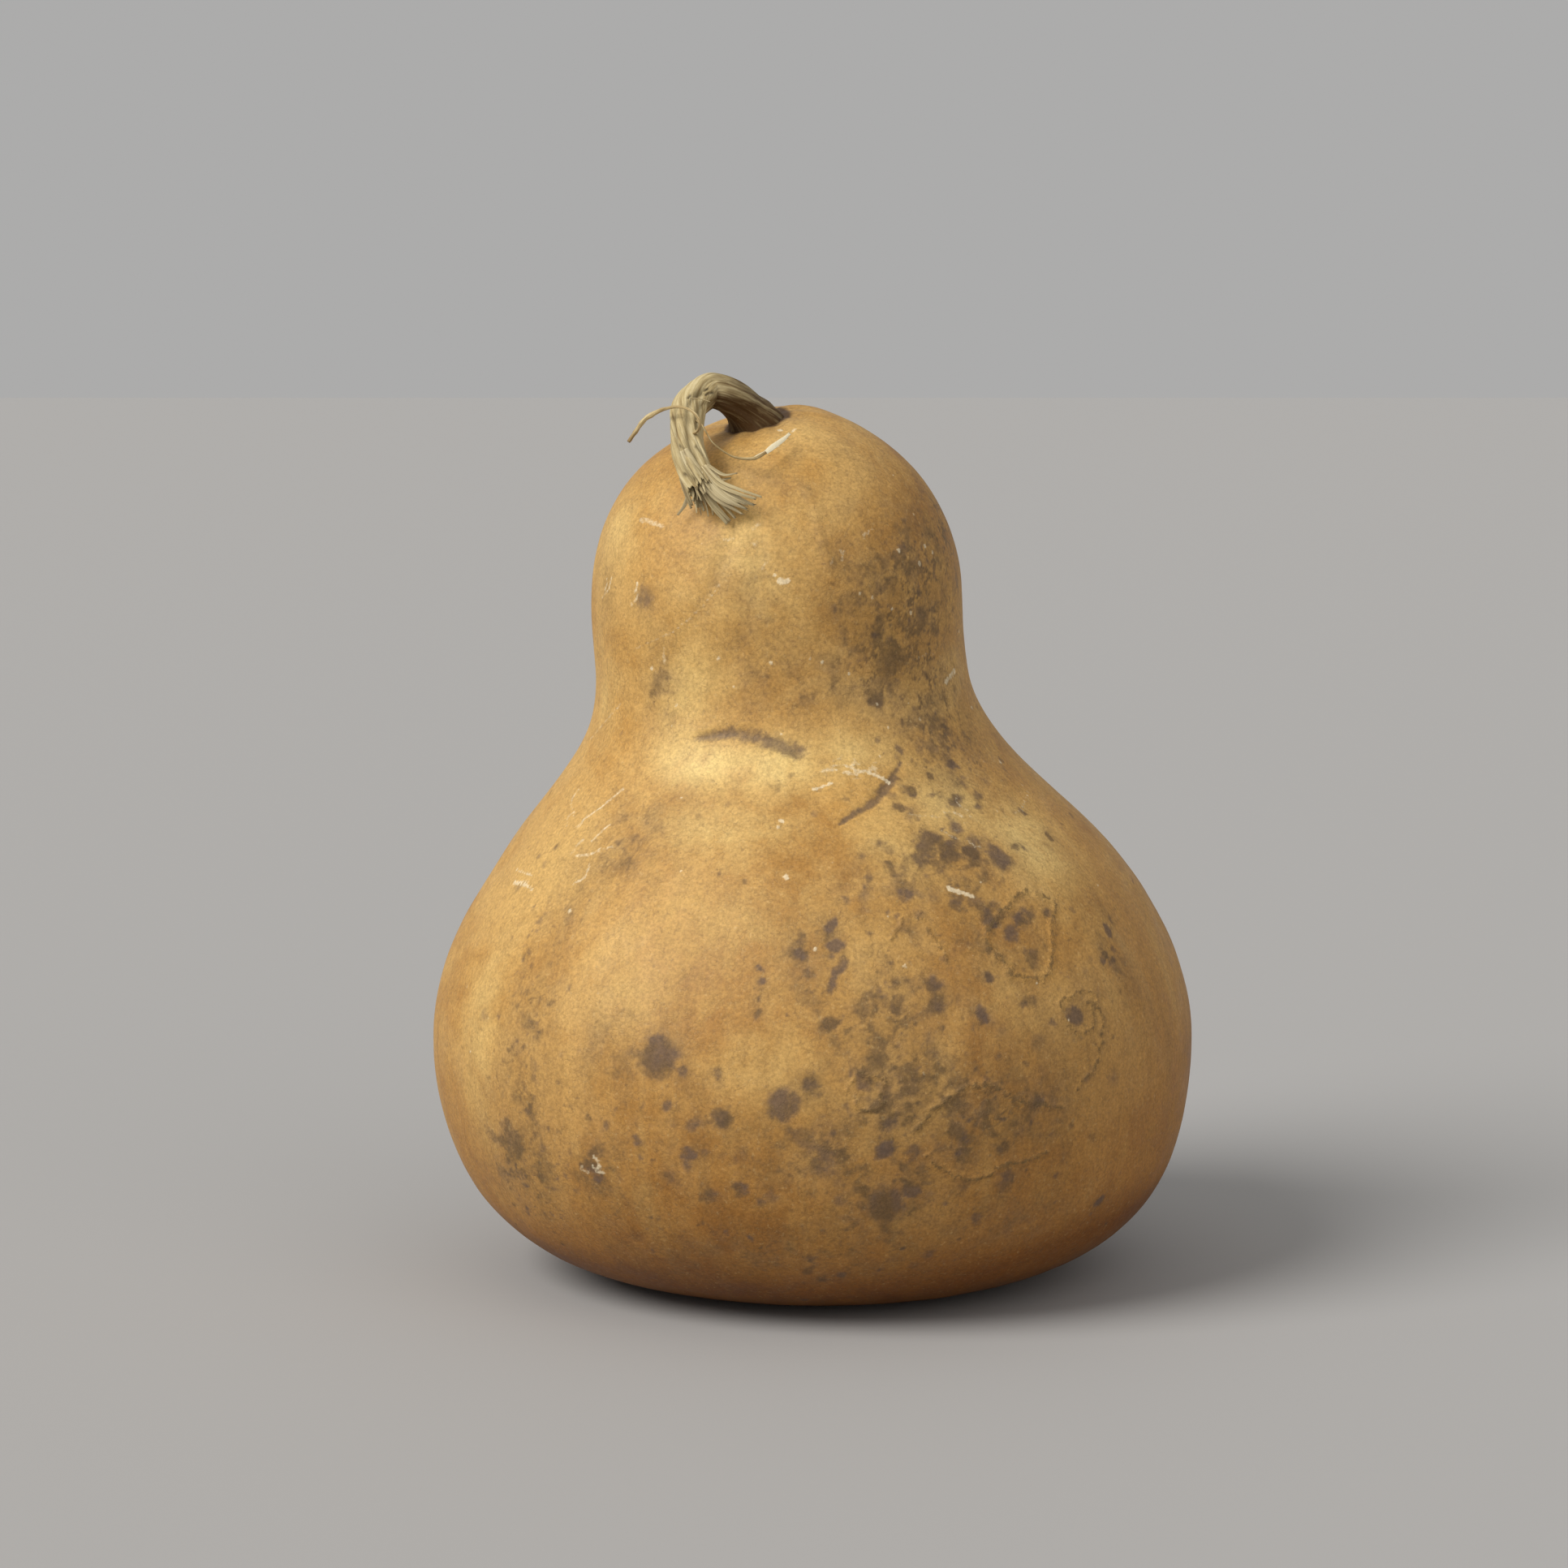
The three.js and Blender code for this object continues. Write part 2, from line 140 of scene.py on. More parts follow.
# crusty edges of old mould, as parts of ovals:
# (x, z, half width, half height, from and to in degrees, half width of the crust)
RINGS = [
    (49, 93, 8, 9, 0, 360, 0.9), (62, 75, 4, 5, 0, 360, 0.7), (12, 61, 4, 4, 0, 360, 0.6),
    (40, 50, 18, 9, 20, 165, 0.9), (40, 48, 14, 9, 200, 330, 0.8), (57, 67, 10, 12, -60, 50, 0.8),
    (22, 88, 8, 9, 10, 130, 0.55)]

# ---------------------------------------------------------------- stations on the stalk
# The stalk's and the tendrils' rows are the CAD part's, but for two half widths of the stalk and the end
# of the right tendril. The flake, the torn strips and the hair are this script's own.
# A shell station is (azimuth, tilt, lift), with a share of the half width for the stalk: degrees
# round and down from the head's axis, then millimetres off the shell. A station beside the stalk is
# (share along it, right, out), and right and out are in half widths of the stalk. Past 1, the share
# counts half widths beyond the torn end.

HEAD_DEPTH_SHARE = 0.98      # the head's depth over its width
STALK_HALF = 4.1             # millimetres
STALK_STATIONS = [
    (238, 12.5, -12, 1.6), (238, 12.5, -4.4, 1.53), (235, 15.5, 0.8, 1.16), (229, 19.5, 5.8, 1.05),
    (222, 23, 8.5, 1.02), (223, 29, 8.9, 1), (228, 35, 8.7, 0.98), (235.5, 43, 8.2, 0.93),
    (241.5, 50, 7.3, 0.9), (246.5, 56, 5.8, 0.8)]
LEFT_TENDRIL = [
    (0.785, 0.6, 0.55), (0.815, 1.15, 1.25), (0.805, 1.4, 1.6), (0.78, 1.3, 1.8), (0.755, 0.95, 1.85),
    (0.725, 0.25, 1.75), (0.705, -0.7, 1.6), (0.705, -1.5, 1.5), (0.715, -2.15, 1.4), (0.755, -3.2, 1.1)]
RIGHT_TENDRIL_ROOT = [(0.725, 0.8, 0.4), (0.78, 1.3, 0.9), (0.815, 1.45, 0.8), (0.85, 1.6, 0.3)]
RIGHT_TENDRIL_SHELL = [(254, 45.3, 5.8), (261.5, 44.8, 4.6), (266, 42, 4)]
FLAKE = [(266, 42, 4), (269, 39.5, 3.8), (273, 36.5, 3.4), (277, 33.4, 3.2)]
# torn strips: (stations, how many strands, width in millimetres, spread in half widths, brown and painted
# shade)
SPLINTERS = [
    ([(0.96, 0.5, 0.85), (1.8, 0.8, 0.55), (2.6, 1.25, 0.2), (3.3, 1.85, -0.35)], 3, 2.8, 0.28, 0.03),
    ([(0.96, 0.5, 0.75), (1.8, 0.95, 0.55), (2.5, 1.5, 0.3), (3.0, 1.95, 0.0)], 1, 1.8, 0.1, 0.05),
    ([(0.98, 0.1, 0.5), (2.2, 0.35, 0.1), (3.4, 0.7, -0.6)], 3, 1.3, 0.2, 0.15),
    ([(0.94, 0.65, 0.95), (1.4, 1.05, 0.72), (2.4, 1.9, 0.5), (3.1, 2.75, 0.15)], 2, 0.9, 0.2, 0.15),
    ([(0.94, 0.72, 0.7), (1.1, 1.25, 0.55), (1.35, 2.0, 0.5)], 2, 0.9, 0.3, 0.25),
    ([(1.1, 0.05, 0.1), (2.1, 0.0, -0.15), (2.7, -0.1, -0.4)], 3, 0.7, 0.2, 0.25),
    ([(0.98, -0.4, 0.15), (1.3, -0.35, -0.0), (1.8, -0.3, -0.2)], 3, 0.9, 0.3, 0.2),
    ([(0.9, -0.8, 0.1), (0.98, -0.92, -0.2), (1.5, -1.0, -0.45)], 2, 0.8, 0.12, 0.25),
    ([(0.97, -0.92, -0.34), (1.2, -1.5, -0.45), (1.55, -2.1, -0.6)], 1, 1.1, 0.05, 0.6),
    ([(0.96, 0.3, 0.05), (1.6, 0.6, -0.15), (2.4, 1.1, -0.35)], 2, 1.2, 0.3, 0.4),
    ([(0.95, -0.2, 0.0), (1.0, -0.25, -0.2), (1.5, -0.2, -0.4)], 2, 0.95, 0.25, 0.45),
    ([(0.87, 0.0, 1.35), (0.92, 0.1, 1.1), (1.0, 0.25, 0.85), (1.7, 0.5, 0.5)], 2, 1.8, 0.35, 0.04)]
HAIR = [(0.68, 0.87, 1.4), (0.69, 1.39, 1.22), (0.7, 1.97, 0.96)]
# grooves along the stalk: (share at the start, at the end, turn round it from, to in degrees, half
# width, depth, darkness). A turn of 0 faces the front and 90 faces right.
STALK_GROOVES = [
    (0.50, 0.98, 0, 20, 0.5, 0.8, 0.45), (0.62, 0.96, -50, -30, 0.42, 0.55, 0.4),
    (0.48, 0.75, 45, 40, 0.35, 0.35, 0.25), (0.82, 0.86, -25, 0, 0.3, 0.4, 0.9),
    (0.84, 0.88, 35, 50, 0.3, 0.4, 0.9), (0.93, 0.97, -45, -10, 0.35, 0.45, 0.8)]
GROOVE_SOFTNESS = 1.6        # how many half widths a groove's slope takes
PITS = 6                     # small dark holes on the stalk's bend
# blotches between the big stains: (x, z, half width, half height, how many)
BLOTCHED = [(36, 106, 11, 11, 26), (27, 125, 7, 7, 22), (20, 78, 12, 14, 22), (38, 55, 16, 9, 26),
            (-25, 50, 16, 10, 12), (5, 48, 14, 8, 14), (60, 75, 9, 14, 10), (33, 134, 7, 8, 18),
            (25, 165, 9, 14, 14), (-66, 62, 7, 22, 12), (20, 20, 34, 8, 12), (24, 36, 12, 9, 16)]
# fine specks of grime, in the same columns
SPECKLED = [(-67, 62, 3.4, 20, 210), (-64, 36, 6, 9, 90), (30, 130, 7, 9, 130), (33, 108, 10, 8, 110),
            (24, 166, 10, 12, 120), (20, 70, 13, 12, 110), (36, 50, 15, 8, 90), (-38, 45, 16, 11, 70),
            (50, 93, 6, 8, 70), (-62, 100, 5, 9, 50), (66, 66, 5, 16, 40), (10, 30, 22, 10, 60)]
# where the dark web is: (view, x, z, half width, half height)
WEBBED = [
    (0, 24, 172, 17, 19), (0, 33, 182, 12, 14), (0, 20, 154, 16, 11), (0, 32, 136, 13, 14),
    (0, 40, 56, 15, 9), (200, 10, 120, 18, 20), (120, -5, 80, 15, 22), (260, 5, 60, 14, 20),
    (180, 15, 185, 14, 12)]
# pale films: (x, z, half width, half height, strength)
HAZES = [
    (9, 130, 9, 3, 0.8), (-50, 143, 5, 9, 0.35), (-20, 92, 18, 13, 0.14), (-51, 120, 9, 6, 0.4),
    (2, 112, 12, 6, 0.25), (-42, 188, 6, 7, 0.35), (18, 176, 8, 6, 0.3), (36, 150, 7, 4, 0.5),
    (-49, 41, 8, 4, 0.3), (22, 186, 8, 4, 0.2)]
UNSEEN_FROM = 12 * MM        # the front view shows the shell up to about this far back
SPOT_SWELL = 1.8             # a stain's soft edge reaches out to this share of its size
SPOT_BLEED = 0.42            # and this many millimetres more
SPOT_SOFTNESS = 0.5
HALO_SHARE = 0.40            # strength of the mould round a stain, as a share of the stain's
DOT_SIZE, DOT_STRENGTH = 0.7, 0.8
HIDDEN_VIEWS = (74, 115, 155, 195, 235, 283)
DOTS_ALL_ROUND, WHITE_FLECKS = 420, 150
CROWDED_BELOW, CLEAR_LEFT_OF = 0.07, -0.07     # metres: where the front has many dots, and none
FINEST_SCRATCH = 0.52        # half width in millimetres; the shell's mesh can't hold a finer one

# ---------------------------------------------------------------- noise and mesh helpers

def gradient_noise(points, seed):
    """Perlin noise of points already divided by the wanted size; values are about -0.7 to 0.7."""
    draw = np.random.RandomState(seed)
    order = np.tile(draw.permutation(256), 3)
    slopes = draw.normal(size=(256, 3))
    slopes /= np.linalg.norm(slopes, axis=1)[:, None]
    cell = np.floor(points).astype(np.int64)
    inside = points - cell
    cell &= 255
    fade = inside ** 3 * (inside * (inside * 6 - 15) + 10)
    total = np.zeros(len(points))
    for dx in (0, 1):
        for dy in (0, 1):
            for dz in (0, 1):
                index = order[order[order[cell[:, 0] + dx] + cell[:, 1] + dy] + cell[:, 2] + dz]
                offset = inside - (dx, dy, dz)
                weight = np.ones(len(points))
                for axis, step in enumerate((dx, dy, dz)):
                    weight = weight * (fade[:, axis] if step else 1 - fade[:, axis])
                total += weight * (slopes[index] * offset).sum(1)
    return total


# a turn of the noise's grid between octaves, so that it shows no rows or columns
TURN = np.array([[1, 2, 2], [2, 1, -2], [2, -2, 1]]) / 3


def layered_noise(points, size, seed, octaves=3, fall=0.5):
    """Several octaves of noise, the first with features of that size in metres."""
    total, gain = 0, 1
    for octave in range(octaves):
        total = total + gain * gradient_noise(points * (2 ** octave / size) + octave * 17.3, seed + octave)
        points = points @ TURN
        gain *= fall
    return total


def smoothstep(low, high, value):
    t = np.clip((value - low) / (high - low), 0, 1)
    return t * t * (3 - 2 * t)


def unit(vectors):
    return vectors / np.maximum(np.linalg.norm(vectors, axis=-1, keepdims=True), 1e-12)


def map_quads(u, v):
    """Map places of the four corners of every quad between the lines u and v."""
    at = np.stack(np.meshgrid(u, v), axis=2)
    return np.stack([at[:-1, :-1], at[:-1, 1:], at[1:, 1:], at[1:, :-1]], axis=2).reshape(-1, 2)


def map_fan(u, tip, edge, order):
    """Map places of a fan's triangles: a tip over each step of u, and its two corners in an order."""
    ends = (u[:-1], u[1:])
    middle = (u[:-1] + u[1:]) / 2
    rows = ((middle, tip), (ends[order[0]], edge), (ends[order[1]], edge))
    return np.stack([np.stack([x, 0 * x + y], 1) for x, y in rows], axis=1).reshape(-1, 2)


def make_object(name, points, faces, uvs, attributes, material):
    """A smooth mesh object from arrays. faces is a list of index arrays, uvs one row for each corner."""
    mesh = bpy.data.meshes.new(name)
    corners = np.concatenate([f.ravel() for f in faces]).astype(np.int32)
    sizes = np.concatenate([np.full(len(f), f.shape[1]) for f in faces])
    starts = np.concatenate([[0], np.cumsum(sizes)[:-1]]).astype(np.int32)
    mesh.vertices.add(len(points))
    mesh.vertices.foreach_set("co", np.ascontiguousarray(points, np.float32).ravel())
    mesh.loops.add(len(corners))
    mesh.loops.foreach_set("vertex_index", corners)
    mesh.polygons.add(len(sizes))
    mesh.polygons.foreach_set("loop_start", starts)
    mesh.update(calc_edges=True)
    layer = mesh.uv_layers.new(name="OFBake")
    layer.data.foreach_set("uv", np.ascontiguousarray(uvs, np.float32).ravel())
    for key, values in attributes.items():
        if np.ndim(values) == 2:
            held = mesh.attributes.new(key, "FLOAT_VECTOR", "POINT")
            held.data.foreach_set("vector", np.ascontiguousarray(values, np.float32).ravel())
        else:
            held = mesh.attributes.new(key, "FLOAT", "POINT")
            held.data.foreach_set("value", np.ascontiguousarray(values, np.float32))
    mesh.polygons.foreach_set("use_smooth", np.ones(len(sizes), bool))
    mesh.materials.append(material)
    made = bpy.data.objects.new(name, mesh)
    scene.collection.objects.link(made)
    return made


# ---------------------------------------------------------------- the shell's smooth surface

body_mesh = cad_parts["gourd_body"].data
body_tree = BVHTree.FromPolygons(
    [v.co for v in body_mesh.vertices], [tuple(p.vertices) for p in body_mesh.polygons])


def shell_ray(t, angle):
    """Where ray t meets the shell: 0 is straight down, 1 to 2 level up the axis, 3 straight up."""
    if t < 1:
        centre, rise = BULB_CENTRE, (t - 1) * math.pi / 2
    elif t <= 2:
        share = t - 1
        eased = share * share * (3 - 2 * share)
        height = BULB_CENTRE.z + share * (HEAD_CENTRE.z - BULB_CENTRE.z)
        centre = Vector((eased * HEAD_CENTRE.x, 0, height))
        rise = 0
    else:
        centre, rise = HEAD_CENTRE, (t - 2) * math.pi / 2
    way = Vector((math.cos(rise) * math.cos(angle), math.cos(rise) * math.sin(angle), math.sin(rise)))
    hit = body_tree.ray_cast(centre, way)[0]
    return hit if hit is not None else centre + way * MISSED_REACH


def shell_rows(stations, columns):
    """Points of the CAD shell, one row for each station."""
    angles = SEAM_ANGLE + np.arange(columns) * (2 * math.pi / columns)
    return np.array([[shell_ray(t, a) for a in angles] for t in stations])


def smooth_rows(rows, sigma):
    """Smooths rows lengthwise through both poles, and puts back what one pass takes away."""
    reach = int(3.5 * sigma) + 1
    kernel = np.exp(-0.5 * (np.arange(-reach, reach + 1) / sigma) ** 2)
    kernel /= kernel.sum()
    half = rows.shape[1] // 2

    def once(grid):
        padded = np.concatenate([
            np.roll(grid[1:reach + 1], half, axis=1)[::-1], grid,
            np.roll(grid[-reach - 1:-1], half, axis=1)[::-1]])
        return sum(k * padded[i:i + len(grid)] for i, k in enumerate(kernel))

    first = once(rows)
    return 2 * first - once(first)


coarse = np.linspace(0, 3, 241)
trial = shell_rows(coarse, 16)
steps = np.linalg.norm(np.diff(trial, axis=0), axis=2).mean(1)
lengths = np.concatenate([[0], np.cumsum(steps)])
stations = np.interp(np.linspace(0, lengths[-1], ROWS + 1), lengths, coarse)
grid = shell_rows(stations, CAST_COLUMNS)
grid = smooth_rows(grid, SMOOTH_LENGTH / (lengths[-1] / ROWS))
waves = np.fft.rfft(grid, axis=1)
waves[:, KEPT_HARMONICS:] = 0
grid = np.fft.irfft(waves, n=COLUMNS, axis=1) * (COLUMNS / CAST_COLUMNS)

up = np.gradient(grid, axis=0)
along = (np.roll(grid, -1, axis=1) - np.roll(grid, 1, axis=1))
normals = unit(np.cross(along, up))
normals[0], normals[-1] = unit(normals[1].mean(0)), unit(normals[-2].mean(0))
place = grid[1:-1].reshape(-1, 3)
facing = normals[1:-1].reshape(-1, 3)
place = np.concatenate([grid[0].mean(0)[None], place, grid[-1].mean(0)[None]])
facing = np.concatenate([normals[0][:1], facing, normals[-1][:1]])
row_low = np.array([r[:, 2].min() for r in grid])
row_high = np.array([r[:, 2].max() for r in grid])


def on_shell(view, x, z):
    """The point of the shell seen at x and z, in millimetres, along a level view."""
    a = math.radians(view)
    side, ahead = Vector((math.cos(a), math.sin(a), 0)), Vector((-math.sin(a), math.cos(a), 0))
    start = side * (x * MM) - ahead + Vector((0, 0, z * MM))
    hit = body_tree.ray_cast(start, ahead)[0]
    return None if hit is None else np.array(hit)


# the marks' edges wander: they are measured from points moved a little by noise
wander = np.stack([
    layered_noise(place, 7 * MM, 50 + k, 3, 0.6) * 1.4 * MM
    + gradient_noise(place / (1.7 * MM), 57 + k) * 0.7 * MM for k in range(3)], axis=1)
wandering = place + wander
steadier = place + 0.28 * wander
frayed = layered_noise(place, 2.6 * MM, 60, 3, 0.7)


def near(centre, reach):
    """Vertices in a box round a point."""
    rows = np.flatnonzero((row_low <= centre[2] + reach) & (row_high >= centre[2] - reach))
    if not len(rows):
        return np.zeros(0, int)
    start = 0 if rows[0] == 0 else 1 + (rows[0] - 1) * COLUMNS
    end = len(place) if rows[-1] == ROWS else 1 + rows[-1] * COLUMNS
    part = place[start:end]
    return start + np.flatnonzero((np.abs(part - centre) < reach).all(1))


def add_spot(field, centre, radius, strength, soft=0.45, points=None):
    """A round mark with a soft edge. The strongest mark wins."""
    if centre is None:
        return
    found = near(centre, radius * 2.2)
    source = wandering if points is None else points
    away = np.linalg.norm(source[found] - centre, axis=1) / radius
    away = away + min(0.7, 0.9 * MM / radius) * frayed[found]
    field[found] = np.maximum(field[found], strength * smoothstep(1 + soft, 1 - soft, away))


def add_patch(field, centre, across, tall, strength):
    """A wide faint mark with no edge, of half sizes across and tall."""
    if centre is None:
        return
    found = near(centre, max(across, tall) * 2.3)
    step = wandering[found] - centre
    away = (step[:, 0] ** 2 + step[:, 1] ** 2) / across ** 2 + step[:, 2] ** 2 / tall ** 2
    field[found] += strength * np.exp(-0.9 * away) * (1 - field[found])


def behind(view, x, z):
    """The point seen along a view, if the front view doesn't show it."""
    found = on_shell(view, x, z)
    return found if found is not None and found[1] > UNSEEN_FROM else None


def line_points(view, line, spacing=0.5 * MM):
    """Points of a line on the shell, close together, with their share of its length."""
    line = np.array(line, float)
    count = max(3, int(np.linalg.norm(np.diff(line, axis=0), axis=1).sum() * MM / spacing))
    found = [on_shell(view, *p) for p in curve(line, count)]
    shares = np.linspace(0, 1, len(found))
    kept = [(p, s) for p, s in zip(found, shares) if p is not None]
    return np.array([p for p, s in kept]).reshape(-1, 3), np.array([s for p, s in kept])


def with_ends(points):
    """Points with one more carried on past each end, as a smooth curve through them needs."""
    return np.concatenate([[2 * points[0] - points[1]], points, [2 * points[-1] - points[-2]]])


def curve(points, count):
    """A smooth curve through points, as count points at even shares of its length."""
    points = np.asarray(points, float)
    padded = with_ends(points)
    fine = []
    for i in range(len(points) - 1):
        a, b, c, d = padded[i:i + 4]
        for t in np.linspace(0, 1, 24, endpoint=False):
            fine.append(0.5 * (2 * b + (c - a) * t + (2 * a - 5 * b + 4 * c - d) * t ** 2
                               + (3 * b - a - 3 * c + d) * t ** 3))
    fine = np.array(fine + [points[-1]])
    run = np.concatenate([[0], np.cumsum(np.linalg.norm(np.diff(fine, axis=0), axis=1))])
    even = np.linspace(0, run[-1], count)
    return np.stack([np.interp(even, run, fine[:, k]) for k in range(points.shape[1])], axis=1)


def line_mark(view, line, start_width, end_width, reach=3.0, source=None):
    """Vertices near a line, their distance from it in half widths, and their share along it."""
    points, shares = line_points(view, line)
    if not len(points):
        return np.zeros(0, int), np.zeros(0), np.zeros(0)
    centre = (points.min(0) + points.max(0)) / 2
    span = np.abs(points - centre).max() + max(start_width, end_width) * MM * reach
    found = near(centre, span)
    source = steadier if source is None else source
    away = np.full(len(found), 1e9)
    share = np.zeros(len(found))
    for p, s in zip(points, shares):
        d = np.linalg.norm(source[found] - p, axis=1) / ((start_width + (end_width - start_width) * s) * MM)
        closer = d < away
        away[closer], share[closer] = d[closer], s
    kept = away < reach
    return found[kept], away[kept], share[kept]


# ---------------------------------------------------------------- fields of the marks

count = len(place)
stain, cloud, pale_skin_and_highlight = np.zeros(count), np.zeros(count), np.zeros(count)
scratch, crease, ring = np.zeros(count), np.zeros(count), np.zeros(count)
lift = np.zeros(count)      # how far the surface is moved along its normal


def add_stain(x, z, size, strength):
    """A round stain seen from the front, with a faint halo of mould."""
    centre = on_shell(0, x, z)
    add_spot(stain, centre, (size / 2 * SPOT_SWELL + SPOT_BLEED) * MM, strength, SPOT_SOFTNESS)
    halo = (size + 1) * 1.1 * MM
    add_patch(cloud, centre, halo, halo, HALO_SHARE * strength)


def scatter(groups, sizes, strengths, soft):
    """Small marks in groups, with radii in millimetres and strengths from the two ranges."""
    for x, z, across, tall, many in groups:
        for _ in range(many):
            centre = on_shell(0, x + draw.normal() * across, z + draw.normal() * tall)
            add_spot(stain, centre, draw.uniform(*sizes) * MM, draw.uniform(*strengths), soft)


def add_scratch(view, line, half, thinned, strength, outer, inner):
    """A pale scratch, whose edge runs from outer to inner half widths away from its line."""
    vertex, away, share = line_mark(view, line, half, half * thinned)
    scratch[vertex] = np.maximum(scratch[vertex], strength * smoothstep(outer, inner, away))


def add_ring(view, line, start, end, outer, fray):
    """A crusty edge along a line, from its half width at the start to the one at the end."""
    vertex, away, share = line_mark(view, line, start, end, source=wandering)
    away = away + fray * np.abs(frayed[vertex])
    ring[vertex] = np.maximum(ring[vertex], smoothstep(outer, 0.3, away))


for x, z, size, strength in STAINS:
    add_stain(x, z, size, strength)
x, z, step, many = DOT_FILE
for k in range(many):
    add_stain(x, z + k * step, DOT_SIZE, DOT_STRENGTH)
draw = np.random.RandomState(11)
for x, z, across, tall, many, smallest, largest in STAIN_GROUPS:
    for _ in range(many):
        add_stain(x + draw.normal() * across, z + draw.normal() * tall, draw.uniform(smallest, largest),
                  draw.uniform(0.5, 0.95))
for field, patches in ((cloud, CLOUDS), (pale_skin_and_highlight, PALE_SKIN_AND_HIGHLIGHTS)):
    for x, z, across, tall, strength in patches:
        add_patch(field, on_shell(0, x, z), across * MM, tall * MM, strength)

draw = np.random.RandomState(3)
scatter(BLOTCHED, (0.7, 2.3), (0.2, 0.62), 0.9)
scatter(SPECKLED, (0.35, 0.95), (0.25, 0.75), 0.7)

# the sides and the back are worn in the same way, with marks of their own
draw = np.random.RandomState(7)
for view in HIDDEN_VIEWS:
    for field, many, lowest, highest, narrowest, widest, strongest in (
            (cloud, 9, 22, 200, 7, 19, 0.75), (pale_skin_and_highlight, 6, 30, 205, 8, 18, 0.8)):
        for _ in range(many):
            x, z = draw.uniform(-45, 45), draw.uniform(lowest, highest)
            add_patch(field, behind(view, x, z), draw.uniform(narrowest, widest) * MM,
                      draw.uniform(8, 24) * MM, draw.uniform(0.3, strongest))
    middle = (draw.uniform(-30, 30), draw.uniform(45, 110))
    for _ in range(34):
        x, z = middle[0] + draw.normal() * 17, middle[1] + draw.normal() * 20
        add_spot(stain, behind(view, x, z), draw.uniform(0.8, 2.4) * MM * draw.choice([1, 1, 1.6]),
                 draw.uniform(0.3, 1.0), SPOT_SOFTNESS)
    for _ in range(9):
        x, z = draw.uniform(-40, 40), draw.uniform(20, 195)
        turn, reach = draw.uniform(0, math.pi), draw.uniform(2, 8)
        tip = (x + reach * math.cos(turn), z + reach * math.sin(turn))
        half, strength = draw.uniform(0.25, 0.65), draw.uniform(0.5, 0.9)
        if behind(view, x, z) is not None:
            add_scratch(view, [(x, z), tip], half, 1, strength, 1.4, 0.5)
    x, z = draw.uniform(-25, 25), draw.uniform(50, 100)
    wide, turn = draw.uniform(4, 8), draw.uniform(0, 6)
    loop = [(x + wide * math.cos(turn + q), z + wide * 1.3 * math.sin(turn + q))
            for q in np.linspace(0, 5.2, 9)]
    if behind(view, x, z) is not None:
        add_ring(view, loop, 0.8, 0.6, 1.8, 0)

# small dots that gather where the big ones are, all round
for _ in range(DOTS_ALL_ROUND):
    view = draw.uniform(0, 360)
    x, z = draw.uniform(-35, 35), draw.uniform(8, 150)
    centre = on_shell(view, x, z)
    if centre is None:
        continue
    seen_from_front = centre[1] < 0
    crowded = centre[0] > 0 or centre[2] < CROWDED_BELOW
    if seen_from_front and (not crowded and draw.uniform() < 0.75 or centre[0] < CLEAR_LEFT_OF):
        continue
    add_spot(stain, centre, draw.uniform(0.4, 1.1) * MM, draw.uniform(0.25, 0.65), SPOT_SOFTNESS)

# grooves, raised lines, scratches and crusty edges on the front
for line, start, end, depth, dark in GROOVES:
    vertex, away, share = line_mark(0, line, start, end)
    taper = np.minimum(smoothstep(0, 0.12, share), smoothstep(1.02, 0.9, share)) * 0.9 + 0.1
    lift[vertex] -= depth * MM * np.exp(-away ** 2) * taper
    inked = smoothstep(1.8, 0.2, away + 0.6 * frayed[vertex])
    crease[vertex] = np.maximum(crease[vertex], dark * taper * inked)
for line, half, height, dark in VEINS:
    vertex, away, share = line_mark(0, line, half, half)
    lift[vertex] += height * MM * np.exp(-away ** 2)
    cloud[vertex] = np.maximum(cloud[vertex], dark * smoothstep(2.6, 0.4, away))
for line, half, strength in SCRATCHES:
    add_scratch(0, line, half, 0.9, strength, 1.3, 0.6)
draw = np.random.RandomState(17)
for x, z, spread, many, lean, length, strength in SCRATCH_GROUPS:
    for _ in range(many):
        start = np.array((x, z)) + draw.normal(size=2) * spread * 0.6
        turn = math.radians(lean + draw.normal() * 18)
        reach = np.array((math.cos(turn), math.sin(turn))) * length * draw.uniform(0.5, 1.2)
        bend = draw.normal(size=2) * 0.12 * length
        add_scratch(0, [start, start + reach / 2 + bend, start + reach], draw.uniform(FINEST_SCRATCH, 0.7),
                    0.9, strength * draw.uniform(0.7, 1.1), 1.3, 0.6)
for x, z, across, tall, first, last, half in RINGS:
    turns = np.radians(np.linspace(first, last, 24))
    uneven = 1 + 0.12 * np.sin(3 * turns + x) + 0.07 * np.sin(5 * turns + z)
    line = np.stack([x + across * uneven * np.cos(turns), z + tall * uneven * np.sin(turns)], axis=1)
    add_ring(0, line, half, half, 2.1, 0.8)

# the mould gathers in mottles, and in webs of dark lines
mottle = layered_noise(wandering @ TURN, 7.0 * MM, 41, 4, 0.68)
cloud = np.clip(cloud * (0.52 + 1.0 * smoothstep(-0.25, 0.40, mottle)), 0, 1)
web_area = np.zeros(count)
for view, x, z, across, tall in WEBBED:
    add_patch(web_area, on_shell(view, x, z), across * MM, tall * MM, 1.0)
web = smoothstep(0.13, 0.02, np.abs(layered_noise(wandering @ TURN, 6.0 * MM, 45, 4, 0.65)))
clots = smoothstep(0.10, 0.50, layered_noise(wandering @ TURN, 4.6 * MM, 46, 4, 0.65))
cloud = np.maximum(cloud, np.clip(np.maximum(web, clots) * web_area * 1.1, 0, 0.95))

